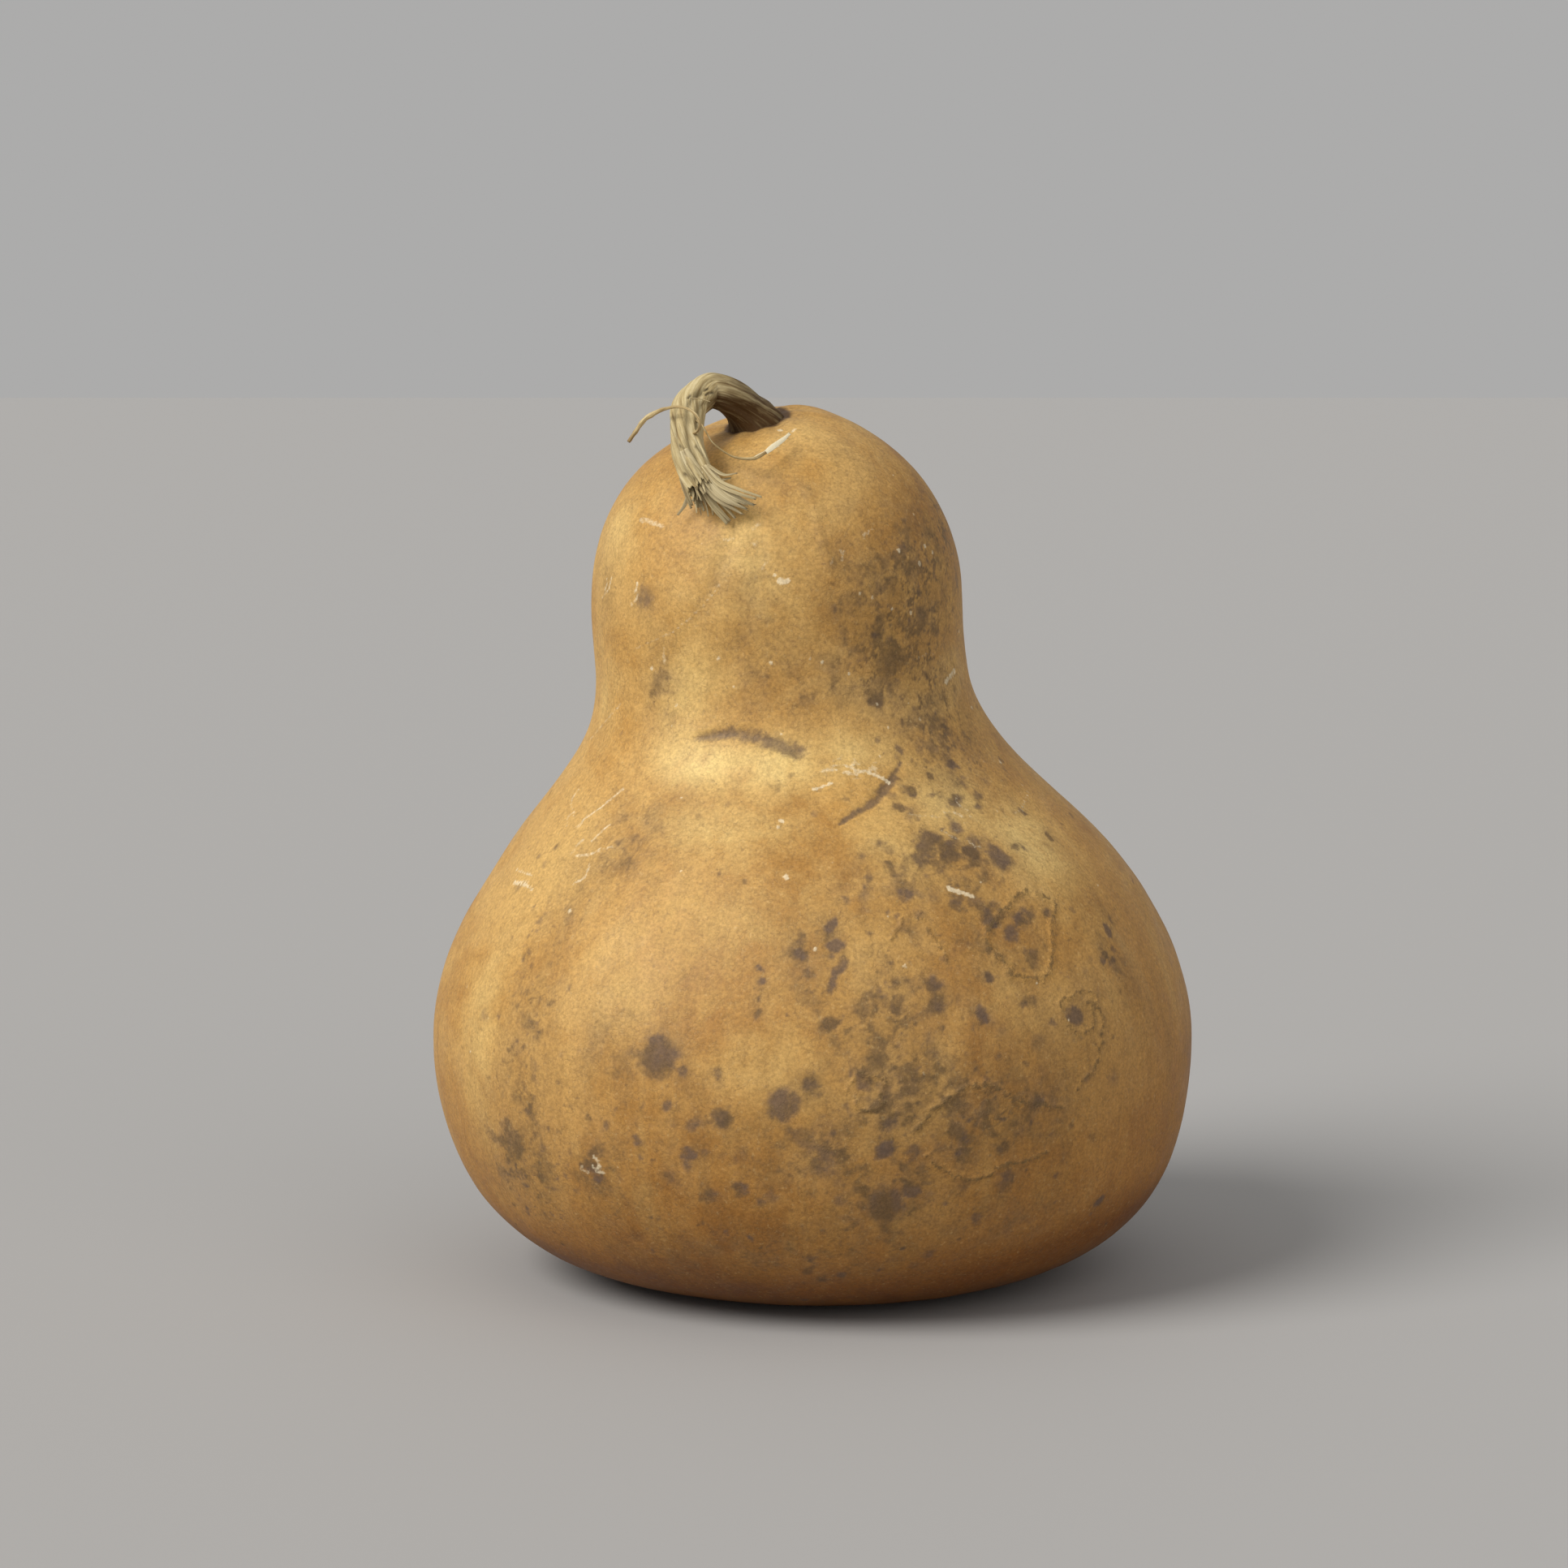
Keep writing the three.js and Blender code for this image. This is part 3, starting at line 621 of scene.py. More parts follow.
fine = layered_noise(place * (1, 1, 3.5), 4 * MM, 48, 3, 0.6)
for x, z, across, tall, strength in HAZES:
    haze = np.zeros(count)
    add_patch(haze, on_shell(0, x, z), across * MM, tall * MM, strength)
    scratch = np.maximum(scratch, haze * smoothstep(-0.1, 0.4, fine))
draw = np.random.RandomState(29)
for _ in range(WHITE_FLECKS):
    view, x, z = draw.uniform(0, 360), draw.uniform(-30, 30), draw.uniform(60, 205)
    add_spot(scratch, on_shell(view, x, z), draw.uniform(0.35, 0.6) * MM, draw.uniform(0.5, 1.0), 0.6,
             steadier)

# the seat of the stalk: a dark rim, and faint creases that run into it
step = place - STALK_FOOT
from_seat = np.linalg.norm(step, axis=1) / MM
turned = np.arctan2(step[:, 1], step[:, 0])
seat = smoothstep(11, 6.2, from_seat)
pull = smoothstep(26, 12, from_seat) * smoothstep(5, 9, from_seat)
lift += pull * 0.22 * MM * np.cos(9 * turned + 2.2 * gradient_noise(place / (14 * MM), 31))
cloud = np.maximum(cloud, 0.55 * smoothstep(16, 7, from_seat))

# lumps, dimples and fine unevenness
lift += layered_noise(place, 46 * MM, 11, 3, 0.45) * 0.75 * MM
lift += layered_noise(place, 9 * MM, 12, 2, 0.5) * 0.07 * MM
lift += layered_noise(place, 2.6 * MM, 13, 2, 0.6) * 0.022 * MM
crinkle = np.abs(layered_noise(place, 2.4 * MM, 14, 2, 0.6))
lift += ring * (0.22 - 0.58 * crinkle) * MM
lift += stain * -0.03 * MM
lift += scratch * 0.03 * MM
near_floor = smoothstep(0.2 * MM, 5 * MM, place[:, 2])
lift *= near_floor
surface = place + facing * lift[:, None]
surface[:, 2] = np.maximum(surface[:, 2], 0)
flat = np.hypot(surface[:, 0] - FOOT_ASIDE, surface[:, 1]) < FOOT_RADIUS
surface[flat & (surface[:, 2] < 20 * MM), 2] = 0

# painted shade: the foot and the right side are painted darker and more orange, as shade away from the
# light that comes from above and the left
across_shell, height = place[:, 0] / MM, place[:, 2] / MM
painted_shade_low = smoothstep(95, 15, height) * 0.52 + smoothstep(34, 4, height) * 0.48
painted_shade_right = smoothstep(10, 92, across_shell) * (0.14 + 0.18 * smoothstep(108, 80, height))
painted_shade = np.clip(painted_shade_low + painted_shade_right, 0, 1)
# faint streaks run up the shell, as its skin dried
turn = np.arctan2(place[:, 1], place[:, 0])
run = np.stack([np.cos(turn) * 0.062, np.sin(turn) * 0.062, place[:, 2] * 0.10], axis=1)

ring_starts = 1 + np.arange(ROWS - 1) * COLUMNS
index = ring_starts[:, None] + np.arange(COLUMNS)
nxt = np.roll(index, -1, axis=1)
quads = np.stack([index[:-1], nxt[:-1], nxt[1:], index[1:]], axis=2).reshape(-1, 4)
top = 1 + (ROWS - 1) * COLUMNS
low_fan = np.stack([np.zeros(COLUMNS, int), nxt[0], index[0]], axis=1)
high_fan = np.stack([np.full(COLUMNS, top), index[-1], nxt[-1]], axis=1)
u = np.arange(COLUMNS + 1) / COLUMNS
v = np.arange(ROWS + 1) / ROWS
low_uv = map_fan(u, 0, v[1], (1, 0))
high_uv = map_fan(u, 1, v[-2], (0, 1))
quad_uv = map_quads(u, v[1:-1])

# ---------------------------------------------------------------- materials

class Shader:
    """A Principled material and short ways to add its procedural nodes."""

    def __init__(self, name):
        self.material = bpy.data.materials.new(name)
        self.material.use_nodes = True
        self.tree = self.material.node_tree
        self.tree.nodes.clear()
        output = self.tree.nodes.new("ShaderNodeOutputMaterial")
        self.skin = self.tree.nodes.new("ShaderNodeBsdfPrincipled")
        self.tree.links.new(self.skin.outputs["BSDF"], output.inputs["Surface"])
        self.place = self.tree.nodes.new("ShaderNodeTexCoord").outputs["Object"]

    def feed(self, socket, value):
        if isinstance(value, bpy.types.NodeSocket):
            self.tree.links.new(value, socket)
        elif isinstance(value, tuple) and len(value) == 3 and socket.type == "RGBA":
            socket.default_value = (*value, 1)
        else:
            socket.default_value = value

    def field(self, name, kind="Fac"):
        node = self.tree.nodes.new("ShaderNodeAttribute")
        node.attribute_name = name
        return node.outputs[kind]

    def noise(self, size, detail=3.0, rough=0.55, bend=0.0, vector=None):
        """Noise with features of that size in metres; about 0.25 to 0.75."""
        node = self.tree.nodes.new("ShaderNodeTexNoise")
        self.feed(node.inputs["Vector"], vector or self.place)
        node.inputs["Scale"].default_value = 1 / size
        node.inputs["Detail"].default_value = detail
        node.inputs["Roughness"].default_value = rough
        node.inputs["Distortion"].default_value = bend
        return node.outputs["Fac"]

    def cracks(self, size):
        """Distance from the edges of small cells, 0 on an edge."""
        node = self.tree.nodes.new("ShaderNodeTexVoronoi")
        node.feature = "DISTANCE_TO_EDGE"
        self.feed(node.inputs["Vector"], self.place)
        node.inputs["Scale"].default_value = 1 / size
        return node.outputs["Distance"]

    def sum(self, operation, a, b, c=None, clamp=False):
        node = self.tree.nodes.new("ShaderNodeMath")
        node.operation = operation
        node.use_clamp = clamp
        for socket, value in zip(node.inputs, (a, b, c)):
            if value is not None:
                self.feed(socket, value)
        return node.outputs[0]

    def span(self, value, low, high, to_low=0.0, to_high=1.0):
        """Value mapped smoothly from low..high to to_low..to_high."""
        node = self.tree.nodes.new("ShaderNodeMapRange")
        node.interpolation_type = "SMOOTHSTEP"
        for key, v in (("Value", value), ("From Min", low), ("From Max", high),
                       ("To Min", to_low), ("To Max", to_high)):
            self.feed(node.inputs[key], v)
        return node.outputs["Result"]

    def broken(self, mask, size, amount, low=0.35, high=0.65, detail=3.0):
        """A mask whose edge and inside are broken up by noise."""
        part = self.sum("MULTIPLY_ADD", self.noise(size, detail, 0.6), amount, -0.5 * amount)
        return self.span(self.sum("ADD", mask, part), low, high)

    def mix(self, share, a, b, mode="MIX"):
        node = self.tree.nodes.new("ShaderNodeMix")
        node.data_type = "RGBA"
        node.blend_type = mode
        node.clamp_factor = True
        self.feed(node.inputs["Factor"], share)
        self.feed(node.inputs[6], a)
        self.feed(node.inputs[7], b)
        return node.outputs[2]

    def tint(self, colour, mask, share, shade):
        """The colour with a share of the shade over it, where the mask is."""
        return self.mix(self.sum("MULTIPLY", mask, share), colour, shade)

    def ramp(self, value, *stops):
        node = self.tree.nodes.new("ShaderNodeValToRGB")
        ramp = node.color_ramp
        ramp.interpolation = "EASE"
        while len(ramp.elements) < len(stops):
            ramp.elements.new(0.5)
        for element, (position, colour) in zip(ramp.elements, stops):
            element.position = position
            element.color = (*colour, 1)
        self.feed(node.inputs["Fac"], value)
        return node.outputs["Color"]

    def bump(self, height, distance, strength=1.0, below=None):
        node = self.tree.nodes.new("ShaderNodeBump")
        node.inputs["Strength"].default_value = strength
        node.inputs["Distance"].default_value = distance
        self.feed(node.inputs["Height"], height)
        if below is not None:
            self.feed(node.inputs["Normal"], below)
        return node.outputs["Normal"]

    def finish(self, colour, rough, normal, **constants):
        self.feed(self.skin.inputs["Base Color"], colour)
        self.feed(self.skin.inputs["Roughness"], rough)
        self.feed(self.skin.inputs["Normal"], normal)
        for key, value in constants.items():
            self.skin.inputs[key.replace("_", " ")].default_value = value
        return self.material


def skin_material():
    s = Shader("gourd_skin")
    wide = s.noise(42 * MM, 4, 0.55, 0.6)
    medium = s.noise(9 * MM, 5, 0.62, 0.4)
    small = s.noise(2.4 * MM, 4, 0.62)
    grain = s.noise(0.8 * MM, 3, 0.7)
    streaks = s.noise(5 * MM, 4, 0.6, 0.0, s.field("run", "Vector"))
    colour = s.ramp(wide, (0.36, (0.36, 0.172, 0.036)), (0.5, (0.465, 0.248, 0.062)),
                    (0.64, (0.56, 0.335, 0.105)))
    colour = s.mix(s.span(medium, 0.36, 0.68, 0, 0.42), colour, (0.60, 0.365, 0.115))
    # paler, yellower skin, partly a painted highlight on the lit neck and left flank
    pale_skin_and_highlight_share = s.sum("MULTIPLY", s.field("pale_skin_and_highlight"), s.span(medium, 0.2, 0.62, 0.5, 1.15))
    colour = s.mix(pale_skin_and_highlight_share, colour, (0.74, 0.53, 0.20))
    # painted shade: darker and more orange towards the foot and the right side
    painted_shade_share = s.sum("MULTIPLY", s.field("painted_shade"), s.span(wide, 0.25, 0.7, 0.8, 1.05))
    colour = s.mix(painted_shade_share, colour, (0.60, 0.40, 0.19), "MULTIPLY")
    # painted shade: darker still at the foot
    colour = s.mix(s.span(s.field("painted_shade"), 0.75, 1.0), colour, (0.62, 0.54, 0.42), "MULTIPLY")
    streaked = s.sum("MULTIPLY", s.span(s.field("painted_shade"), 0.0, 0.35, 0.3, 1.0),
                     s.span(s.field("painted_shade"), 0.55, 0.95, 1.0, 0.15))
    dull = s.sum("MULTIPLY", s.span(streaks, 0.50, 0.68, 0, 0.34), streaked)
    colour = s.mix(dull, colour, (0.27, 0.145, 0.045))
    colour = s.tint(colour, s.span(streaks, 0.30, 0.46, 0.12, 0), streaked, (0.68, 0.46, 0.16))
    # grey-brown bloom of old mould: soft cloud, then mottles and fine speckles in it
    cloud = s.field("cloud")
    mould = s.ramp(s.noise(14 * MM, 3), (0.38, (0.165, 0.104, 0.058)), (0.62, (0.180, 0.108, 0.042)))
    soft = s.sum("MULTIPLY", cloud, s.span(small, 0.3, 0.7, 0.62, 1.0))
    colour = s.tint(colour, soft, 0.80, mould)
    mottles = s.broken(s.sum("MULTIPLY", cloud, 0.80), 2.6 * MM, 1.8, 0.36, 1.02, 5)
    colour = s.tint(colour, mottles, 0.66, (0.115, 0.070, 0.030))
    specks = s.span(s.sum("ADD", s.noise(1.1 * MM, 2, 0.5), s.sum("MULTIPLY", cloud, 0.10)), 0.60, 0.74)
    colour = s.tint(colour, specks, 0.30, (0.17, 0.10, 0.045))
    pale = s.span(s.noise(0.95 * MM, 2, 0.5, 0.0), 0.60, 0.74)
    colour = s.tint(colour, pale, 0.14, (0.78, 0.57, 0.27))
    leather = s.span(s.cracks(1.5 * MM), 0.0, 0.14, 1, 0)
    leather = s.sum("MULTIPLY", leather, s.span(s.noise(4 * MM, 3), 0.35, 0.65))
    colour = s.tint(colour, leather, 0.20, (0.20, 0.115, 0.045))
    # round stains, darkest in the middle and soft at the edge
    stain = s.sum("MULTIPLY", s.field("stain"), s.span(small, 0.28, 0.62, 0.66, 1.12))
    ragged = s.span(stain, 0.06, 0.92)
    dark = s.ramp(s.noise(11 * MM, 2), (0.40, (0.112, 0.074, 0.056)), (0.60, (0.110, 0.068, 0.034)))
    colour = s.tint(colour, ragged, 0.80, dark)
    crease = s.broken(s.field("crease"), 1.5 * MM, 0.9, 0.15, 1.05)
    colour = s.tint(colour, crease, 0.80, (0.120, 0.078, 0.052))
    line = s.broken(s.field("ring"), 1.3 * MM, 1.9, 0.55, 1.15)
    colour = s.tint(colour, line, 0.75, (0.16, 0.098, 0.036))
    colour = s.mix(s.broken(s.field("seat"), 1.6 * MM, 0.6, 0.3, 0.8), colour, (0.075, 0.040, 0.018))
    scratch = s.broken(s.field("scratch"), 1.0 * MM, 1.2, 0.30, 0.90)
    colour = s.tint(colour, scratch, 0.66, (0.80, 0.68, 0.46))
    tone = s.sum("ADD", s.span(grain, 0.28, 0.72, -0.12, 0.12), s.span(small, 0.28, 0.72, 0.95, 1.05))
    # the tone runs round 1, and the ramp gives twice its half
    grey = s.ramp(s.sum("MULTIPLY", tone, 0.5), (0, (0, 0, 0)), (1, (2, 2, 2)))
    colour = s.mix(1.0, colour, grey, "MULTIPLY")
    rough = s.sum("ADD", s.span(medium, 0.3, 0.7, 0.48, 0.62), s.sum("MULTIPLY", ragged, 0.12), clamp=True)
    rough = s.sum("ADD", rough, s.sum("MULTIPLY", scratch, 0.12), clamp=True)
    normal = s.bump(s.noise(1.6 * MM, 4, 0.6), 0.14 * MM, 0.5)
    normal = s.bump(s.noise(0.42 * MM, 3, 0.65), 0.05 * MM, 0.6, normal)
    normal = s.bump(s.sum("MULTIPLY", s.field("ring"), s.noise(1.1 * MM, 3, 0.7)), 0.5 * MM, 0.8, normal)
    normal = s.bump(scratch, 0.06 * MM, 0.7, normal)
    normal = s.bump(leather, -0.05 * MM, 0.5, normal)
    return s.finish(colour, rough, normal, IOR=1.40, Specular_IOR_Level=0.38)


def fibre_material(name, pale, mid, dark, brown_and_shade_colour):
    """Dry plant fibre: the field grainmap runs round, across and along it, so noise in it makes streaks."""
    s = Shader(name)
    run = s.field("grainmap", "Vector")
    streak = s.noise(1.0, 4, 0.62, 0.15, run)
    hair = s.noise(0.28, 3, 0.6, 0.1, run)
    patch = s.noise(6 * MM, 3, 0.6)
    colour = s.ramp(streak, (0.30, dark), (0.46, mid), (0.66, pale))
    colour = s.mix(s.span(patch, 0.35, 0.7, 0, 0.35), colour, mid)
    colour = s.mix(s.span(hair, 0.30, 0.44, 0.5, 0.0), colour, dark)
    # the fibre's own brown mixed with painted shade, where the stalk's rising part and underside are set
    # darker
    brown_and_shade = s.sum("ADD", s.field("brown_and_shade"), s.span(streak, 0.3, 0.7, 0.18, -0.18), clamp=True)
    colour = s.mix(brown_and_shade, colour, brown_and_shade_colour)
    colour = s.tint(colour, s.field("pit"), 0.92, (0.03, 0.018, 0.009))
    specks = s.span(s.noise(0.55 * MM, 2, 0.5), 0.66, 0.74)
    colour = s.tint(colour, specks, 0.35, dark)
    colour = s.mix(s.field("bleach"), colour, (0.86, 0.78, 0.56))
    rough = s.span(streak, 0.3, 0.7, 0.62, 0.80)
    normal = s.bump(hair, 0.16 * MM, 0.75)
    normal = s.bump(s.noise(0.35 * MM, 3, 0.6), 0.06 * MM, 0.6, normal)
    return s.finish(colour, rough, normal, IOR=1.42, Specular_IOR_Level=0.3)


SKIN = skin_material()
# the stalk's last colour is its dark brown and painted shade
STALK = fibre_material("stalk", (0.63, 0.525, 0.30), (0.47, 0.365, 0.175), (0.27, 0.18, 0.075),
                       (0.070, 0.034, 0.009))
TENDRIL = fibre_material("tendril", (0.66, 0.53, 0.29), (0.50, 0.37, 0.17), (0.34, 0.23, 0.10),
                         (0.22, 0.13, 0.05))

shell = make_object("gourd_shell", surface, [low_fan, quads, high_fan],
                    np.concatenate([low_uv, quad_uv, high_uv]),
                    {"stain": stain, "cloud": cloud, "pale_skin_and_highlight": pale_skin_and_highlight, "painted_shade": painted_shade, "scratch": scratch,
                     "crease": crease, "ring": ring, "seat": seat, "run": run}, SKIN)

# ---------------------------------------------------------------- the stalk

FIBRE_SETBACK = 1.4          # millimetres that the fibres are moved back, into the stalk's wall
BLADE_WIDTH = 1.4            # torn strips wider than this, in millimetres, are ragged, pale blades
FILLERS = 22
STALK_SIDES, STALK_RINGS = ((176, 190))
VIEW_WAY = unit(np.array((0.0, -1.0, 0.35)))


def head_way(azimuth, tilt):
    turn, down = math.radians(azimuth), math.radians(tilt)
    return Vector((math.sin(down) * math.cos(turn), math.sin(down) * math.sin(turn) * HEAD_DEPTH_SHARE,
                   math.cos(down)))


def above_shell(azimuth, tilt, lift):
    """The point of a shell station. Its height is measured on the far side, clear of the sunk crown."""
    clear = head_way(azimuth + 180, tilt)
    reach = (body_tree.ray_cast(HEAD_CENTRE, clear)[0] - HEAD_CENTRE).length / clear.length
    return np.array(HEAD_CENTRE + head_way(azimuth, tilt) * (reach + lift * MM))


STALK_POINTS = np.array([above_shell(*station[:3]) for station in STALK_STATIONS])
STALK_LINE = np.c_[STALK_POINTS, [station[3] * STALK_HALF * MM for station in STALK_STATIONS]]


def beside_stalk(share, right, out):
    """The point of a station beside the stalk."""
    at = min(share, 1) * (len(STALK_POINTS) - 1)
    first = min(int(at), len(STALK_POINTS) - 2)
    t = at - first
    a, b, c, d = with_ends(STALK_POINTS)[first:first + 4]
    turn_in, bend, twist = c - a, 2 * a - 5 * b + 4 * c - d, 3 * (b - c) + d - a
    point = b + (turn_in * t + bend * t ** 2 + twist * t ** 3) / 2
    way = unit(turn_in + 2 * bend * t + 3 * twist * t ** 2)
    outward = point - np.array(HEAD_CENTRE)
    outward = unit(outward - way * (outward @ way))
    half = STALK_HALF * MM
    return (point + way * max(share - 1, 0) * half + np.cross(outward, way) * right * half
            + outward * out * half)


def turning_frames(path):
    """Two sideways directions at each point of a path, carried along it without twist."""
    ways = unit(np.gradient(path, axis=0))
    side = unit(np.cross(ways[0], VIEW_WAY))
    sides = []
    for way in ways:
        side = unit(side - way * (side @ way))
        sides.append(side)
    sides = np.array(sides)
    return ways, sides, np.cross(ways, sides)


class Parts:
    """Collects closed tubes, with their map and fields, into one mesh."""

    def __init__(self):
        self.points = []
        self.quads, self.tris = [], []
        self.uv_quads, self.uv_tris = [], []
        self.fields = {"grainmap": [], "brown_and_shade": [], "pit": [], "bleach": []}
        self.total = 0

    def add(self, rings, grainmap, brown_and_shade, pit, box, bleach=0.0):
        """Rings of points (rings, sides, 3), closed at both ends; box is its place in the map."""
        rows, sides = rings.shape[:2]
        ends = [rings[0].mean(0)[None], rings[-1].mean(0)[None]]
        self.points.append(np.concatenate([rings.reshape(-1, 3), *ends]))
        bleached = np.full((rows, sides), bleach)
        for key, values in (("grainmap", grainmap), ("brown_and_shade", brown_and_shade), ("pit", pit), ("bleach", bleached)):
            flat = values.reshape(rows * sides, -1)
            joined = np.concatenate([flat, values[0].reshape(sides, -1).mean(0)[None],
                                     values[-1].reshape(sides, -1).mean(0)[None]])
            self.fields[key].append(joined)
        index = self.total + np.arange(rows * sides).reshape(rows, sides)
        nxt = np.roll(index, -1, axis=1)
        self.quads.append(np.stack([index[:-1], nxt[:-1], nxt[1:], index[1:]], axis=2).reshape(-1, 4))
        first = self.total + rows * sides
        self.tris.append(np.stack([np.full(sides, first), nxt[0], index[0]], axis=1))
        self.tris.append(np.stack([np.full(sides, first + 1), index[-1], nxt[-1]], axis=1))
        left, bottom, right, top = box
        u = left + (right - left) * np.arange(sides + 1) / sides
        v = bottom + (top - bottom) * (np.arange(rows + 2)) / (rows + 1)
        self.uv_quads.append(map_quads(u, v[1:-1]))
        self.uv_tris += [map_fan(u, v[0], v[1], (1, 0)), map_fan(u, v[-1], v[-2], (0, 1))]
        self.total += rows * sides + 2

    def object(self, name, material):
        fields = {k: np.concatenate(v) for k, v in self.fields.items()}
        fields = {k: (v if k == "grainmap" else v[:, 0]) for k, v in fields.items()}
        faces = [*self.quads, np.concatenate(self.tris)]
        uvs = np.concatenate([*self.uv_quads, *self.uv_tris])
        return make_object(name, np.concatenate(self.points), faces, uvs, fields, material)


def stalk_trunk(parts):
    """The hooked trunk: ridges that turn round it, grooves, pits, and a hollow torn end."""
    line = curve(STALK_LINE, STALK_RINGS)
    path, half = line[:, :3], line[:, 3]
    ways, sides, ups = turning_frames(path)
    run = np.concatenate([[0], np.cumsum(np.linalg.norm(np.diff(path, axis=0), axis=1))]) / MM
    angle = np.arange(STALK_SIDES) * (2 * math.pi / STALK_SIDES)
    turned, along = np.meshgrid(angle, run)
    share = along / run[-1]
    twisted = turned + 2.6 * share
    round_map = np.stack([np.cos(twisted), np.sin(twisted), along * 0.05], axis=2)
    flat_map = round_map.reshape(-1, 3)

    def streaks(across, lengthwise, seed, octaves=1):
        at = flat_map * (across, across, lengthwise)
        return layered_noise(at, 1.0, seed, octaves, 0.6).reshape(turned.shape)

    radius = half[:, None] * (
        1 + 0.05 * np.cos(5 * twisted + 1.4 * streaks(1.2, 1, 61)) + 0.09 * streaks(1.6, 2.2, 62)
        + (0.035 + 0.075 * smoothstep(0.45, 0.8, share)) * streaks(4.5, 1.6, 63, 2)
        + 0.03 * streaks(14, 3, 64))
    # a flared, wrinkled root where it meets the shell
    root = np.exp(-((along - 8.5) / 3.2) ** 2)
    radius *= 1 + root * (0.16 + 0.05 * np.cos(9 * turned))
    # the lower part swells as the fibres part
    opened = smoothstep(0.72, 1.0, share)
    radius *= 1 + 0.12 * opened + 0.10 * opened * streaks(3.2, 0.5, 65)
    rings = (path[:, None] + sides[:, None] * (np.cos(turned) * radius)[..., None]
             + ups[:, None] * (np.sin(turned) * radius)[..., None])
    outward = unit(rings - path[:, None])
    pit = np.zeros(turned.shape)
    front = unit(np.array((0.0, -1.0, 0.0)) - ways * -ways[:, 1:2])
    right = np.cross(ways, front)
    right *= np.sign(right[:, :1])
    draw = np.random.RandomState(37)
    pits = []
    for _ in range(PITS):
        start, turn = draw.uniform(0.44, 0.56), draw.uniform(-60, 40)
        pits.append((start, start + 0.02, turn, turn, 0.22, 0.35, 0.9))
    for first, last, start_turn, end_turn, wide, deep, dark in STALK_GROOVES + pits:
        rows = np.arange(int(first * STALK_RINGS), int(last * STALK_RINGS) + 1)
        turns = np.radians(np.linspace(start_turn, end_turn, len(rows)))[:, None]
        seats = path[rows] + half[rows, None] * (front[rows] * np.cos(turns) + right[rows] * np.sin(turns))
        away = np.full(turned.shape, 9.0)
        slope = wide * GROOVE_SOFTNESS * MM
        for seat_point in seats:
            away = np.minimum(away, np.linalg.norm(rings - seat_point, axis=2) / slope)
        hole = np.exp(-away ** 2)
        rings -= outward * (hole * deep * MM)[..., None]
        pit = np.maximum(pit, dark * hole)
    cracks = smoothstep(0.34, 0.5, streaks(9, 2.5, 66)) * smoothstep(0.55, 0.9, share)
    rings -= outward * (cracks * 0.25 * MM)[..., None]
    pit = np.maximum(pit, 0.75 * cracks)
    # the torn rim: its length changes round it, like split fibres
    teeth = 2.6 * streaks(5, 0, 67) + 1.4 * streaks(13, 0, 68)
    rings += ways[:, None] * (teeth * smoothstep(0.86, 1.0, share) * MM)[..., None]
    # the root half is painted dark brown, partly its own colour and partly painted shade, and its
    # downward-facing underside gets more painted shade
    below = smoothstep(0.25, -0.45, outward[..., 2]) * smoothstep(0.53, 0.45, share)
    brown_and_shade = 0.85 * smoothstep(0.55, 0.2, share + 0.06 * streaks(2, 2, 69)) + 0.55 * below
    brown_and_shade = np.clip(brown_and_shade + 0.35 * streaks(5, 9, 70, 2) * smoothstep(0.55, 0.4, share), 0, 1)
    inner = []
    for back, thin in ((0.3, 0.86), (2.5, 0.72), (5.5, 0.60), (8.0, 0.40)):
        base = rings[-1] - path[-1]
        inner.append(path[-1] + base * thin - ways[-1] * back * MM)
    rings = np.concatenate([rings, np.array(inner)])
    # painted shade: the inside of the hollow end is painted darker, as pit and brown, the deeper it goes
    deep = np.array([0.35, 0.8, 0.95, 1.0])[:, None] * np.ones(STALK_SIDES)
    grainmap = np.stack([np.cos(twisted) * 4.5, np.sin(twisted) * 4.5, along * 0.09], axis=2)
    grainmap = np.concatenate([grainmap, np.repeat(grainmap[-1:], len(inner), axis=0)])
    parts.add(rings, grainmap, np.concatenate([brown_and_shade, deep * 0.3]), np.concatenate([pit, deep]),
              (0.01, 0.01, 0.99, 0.60))


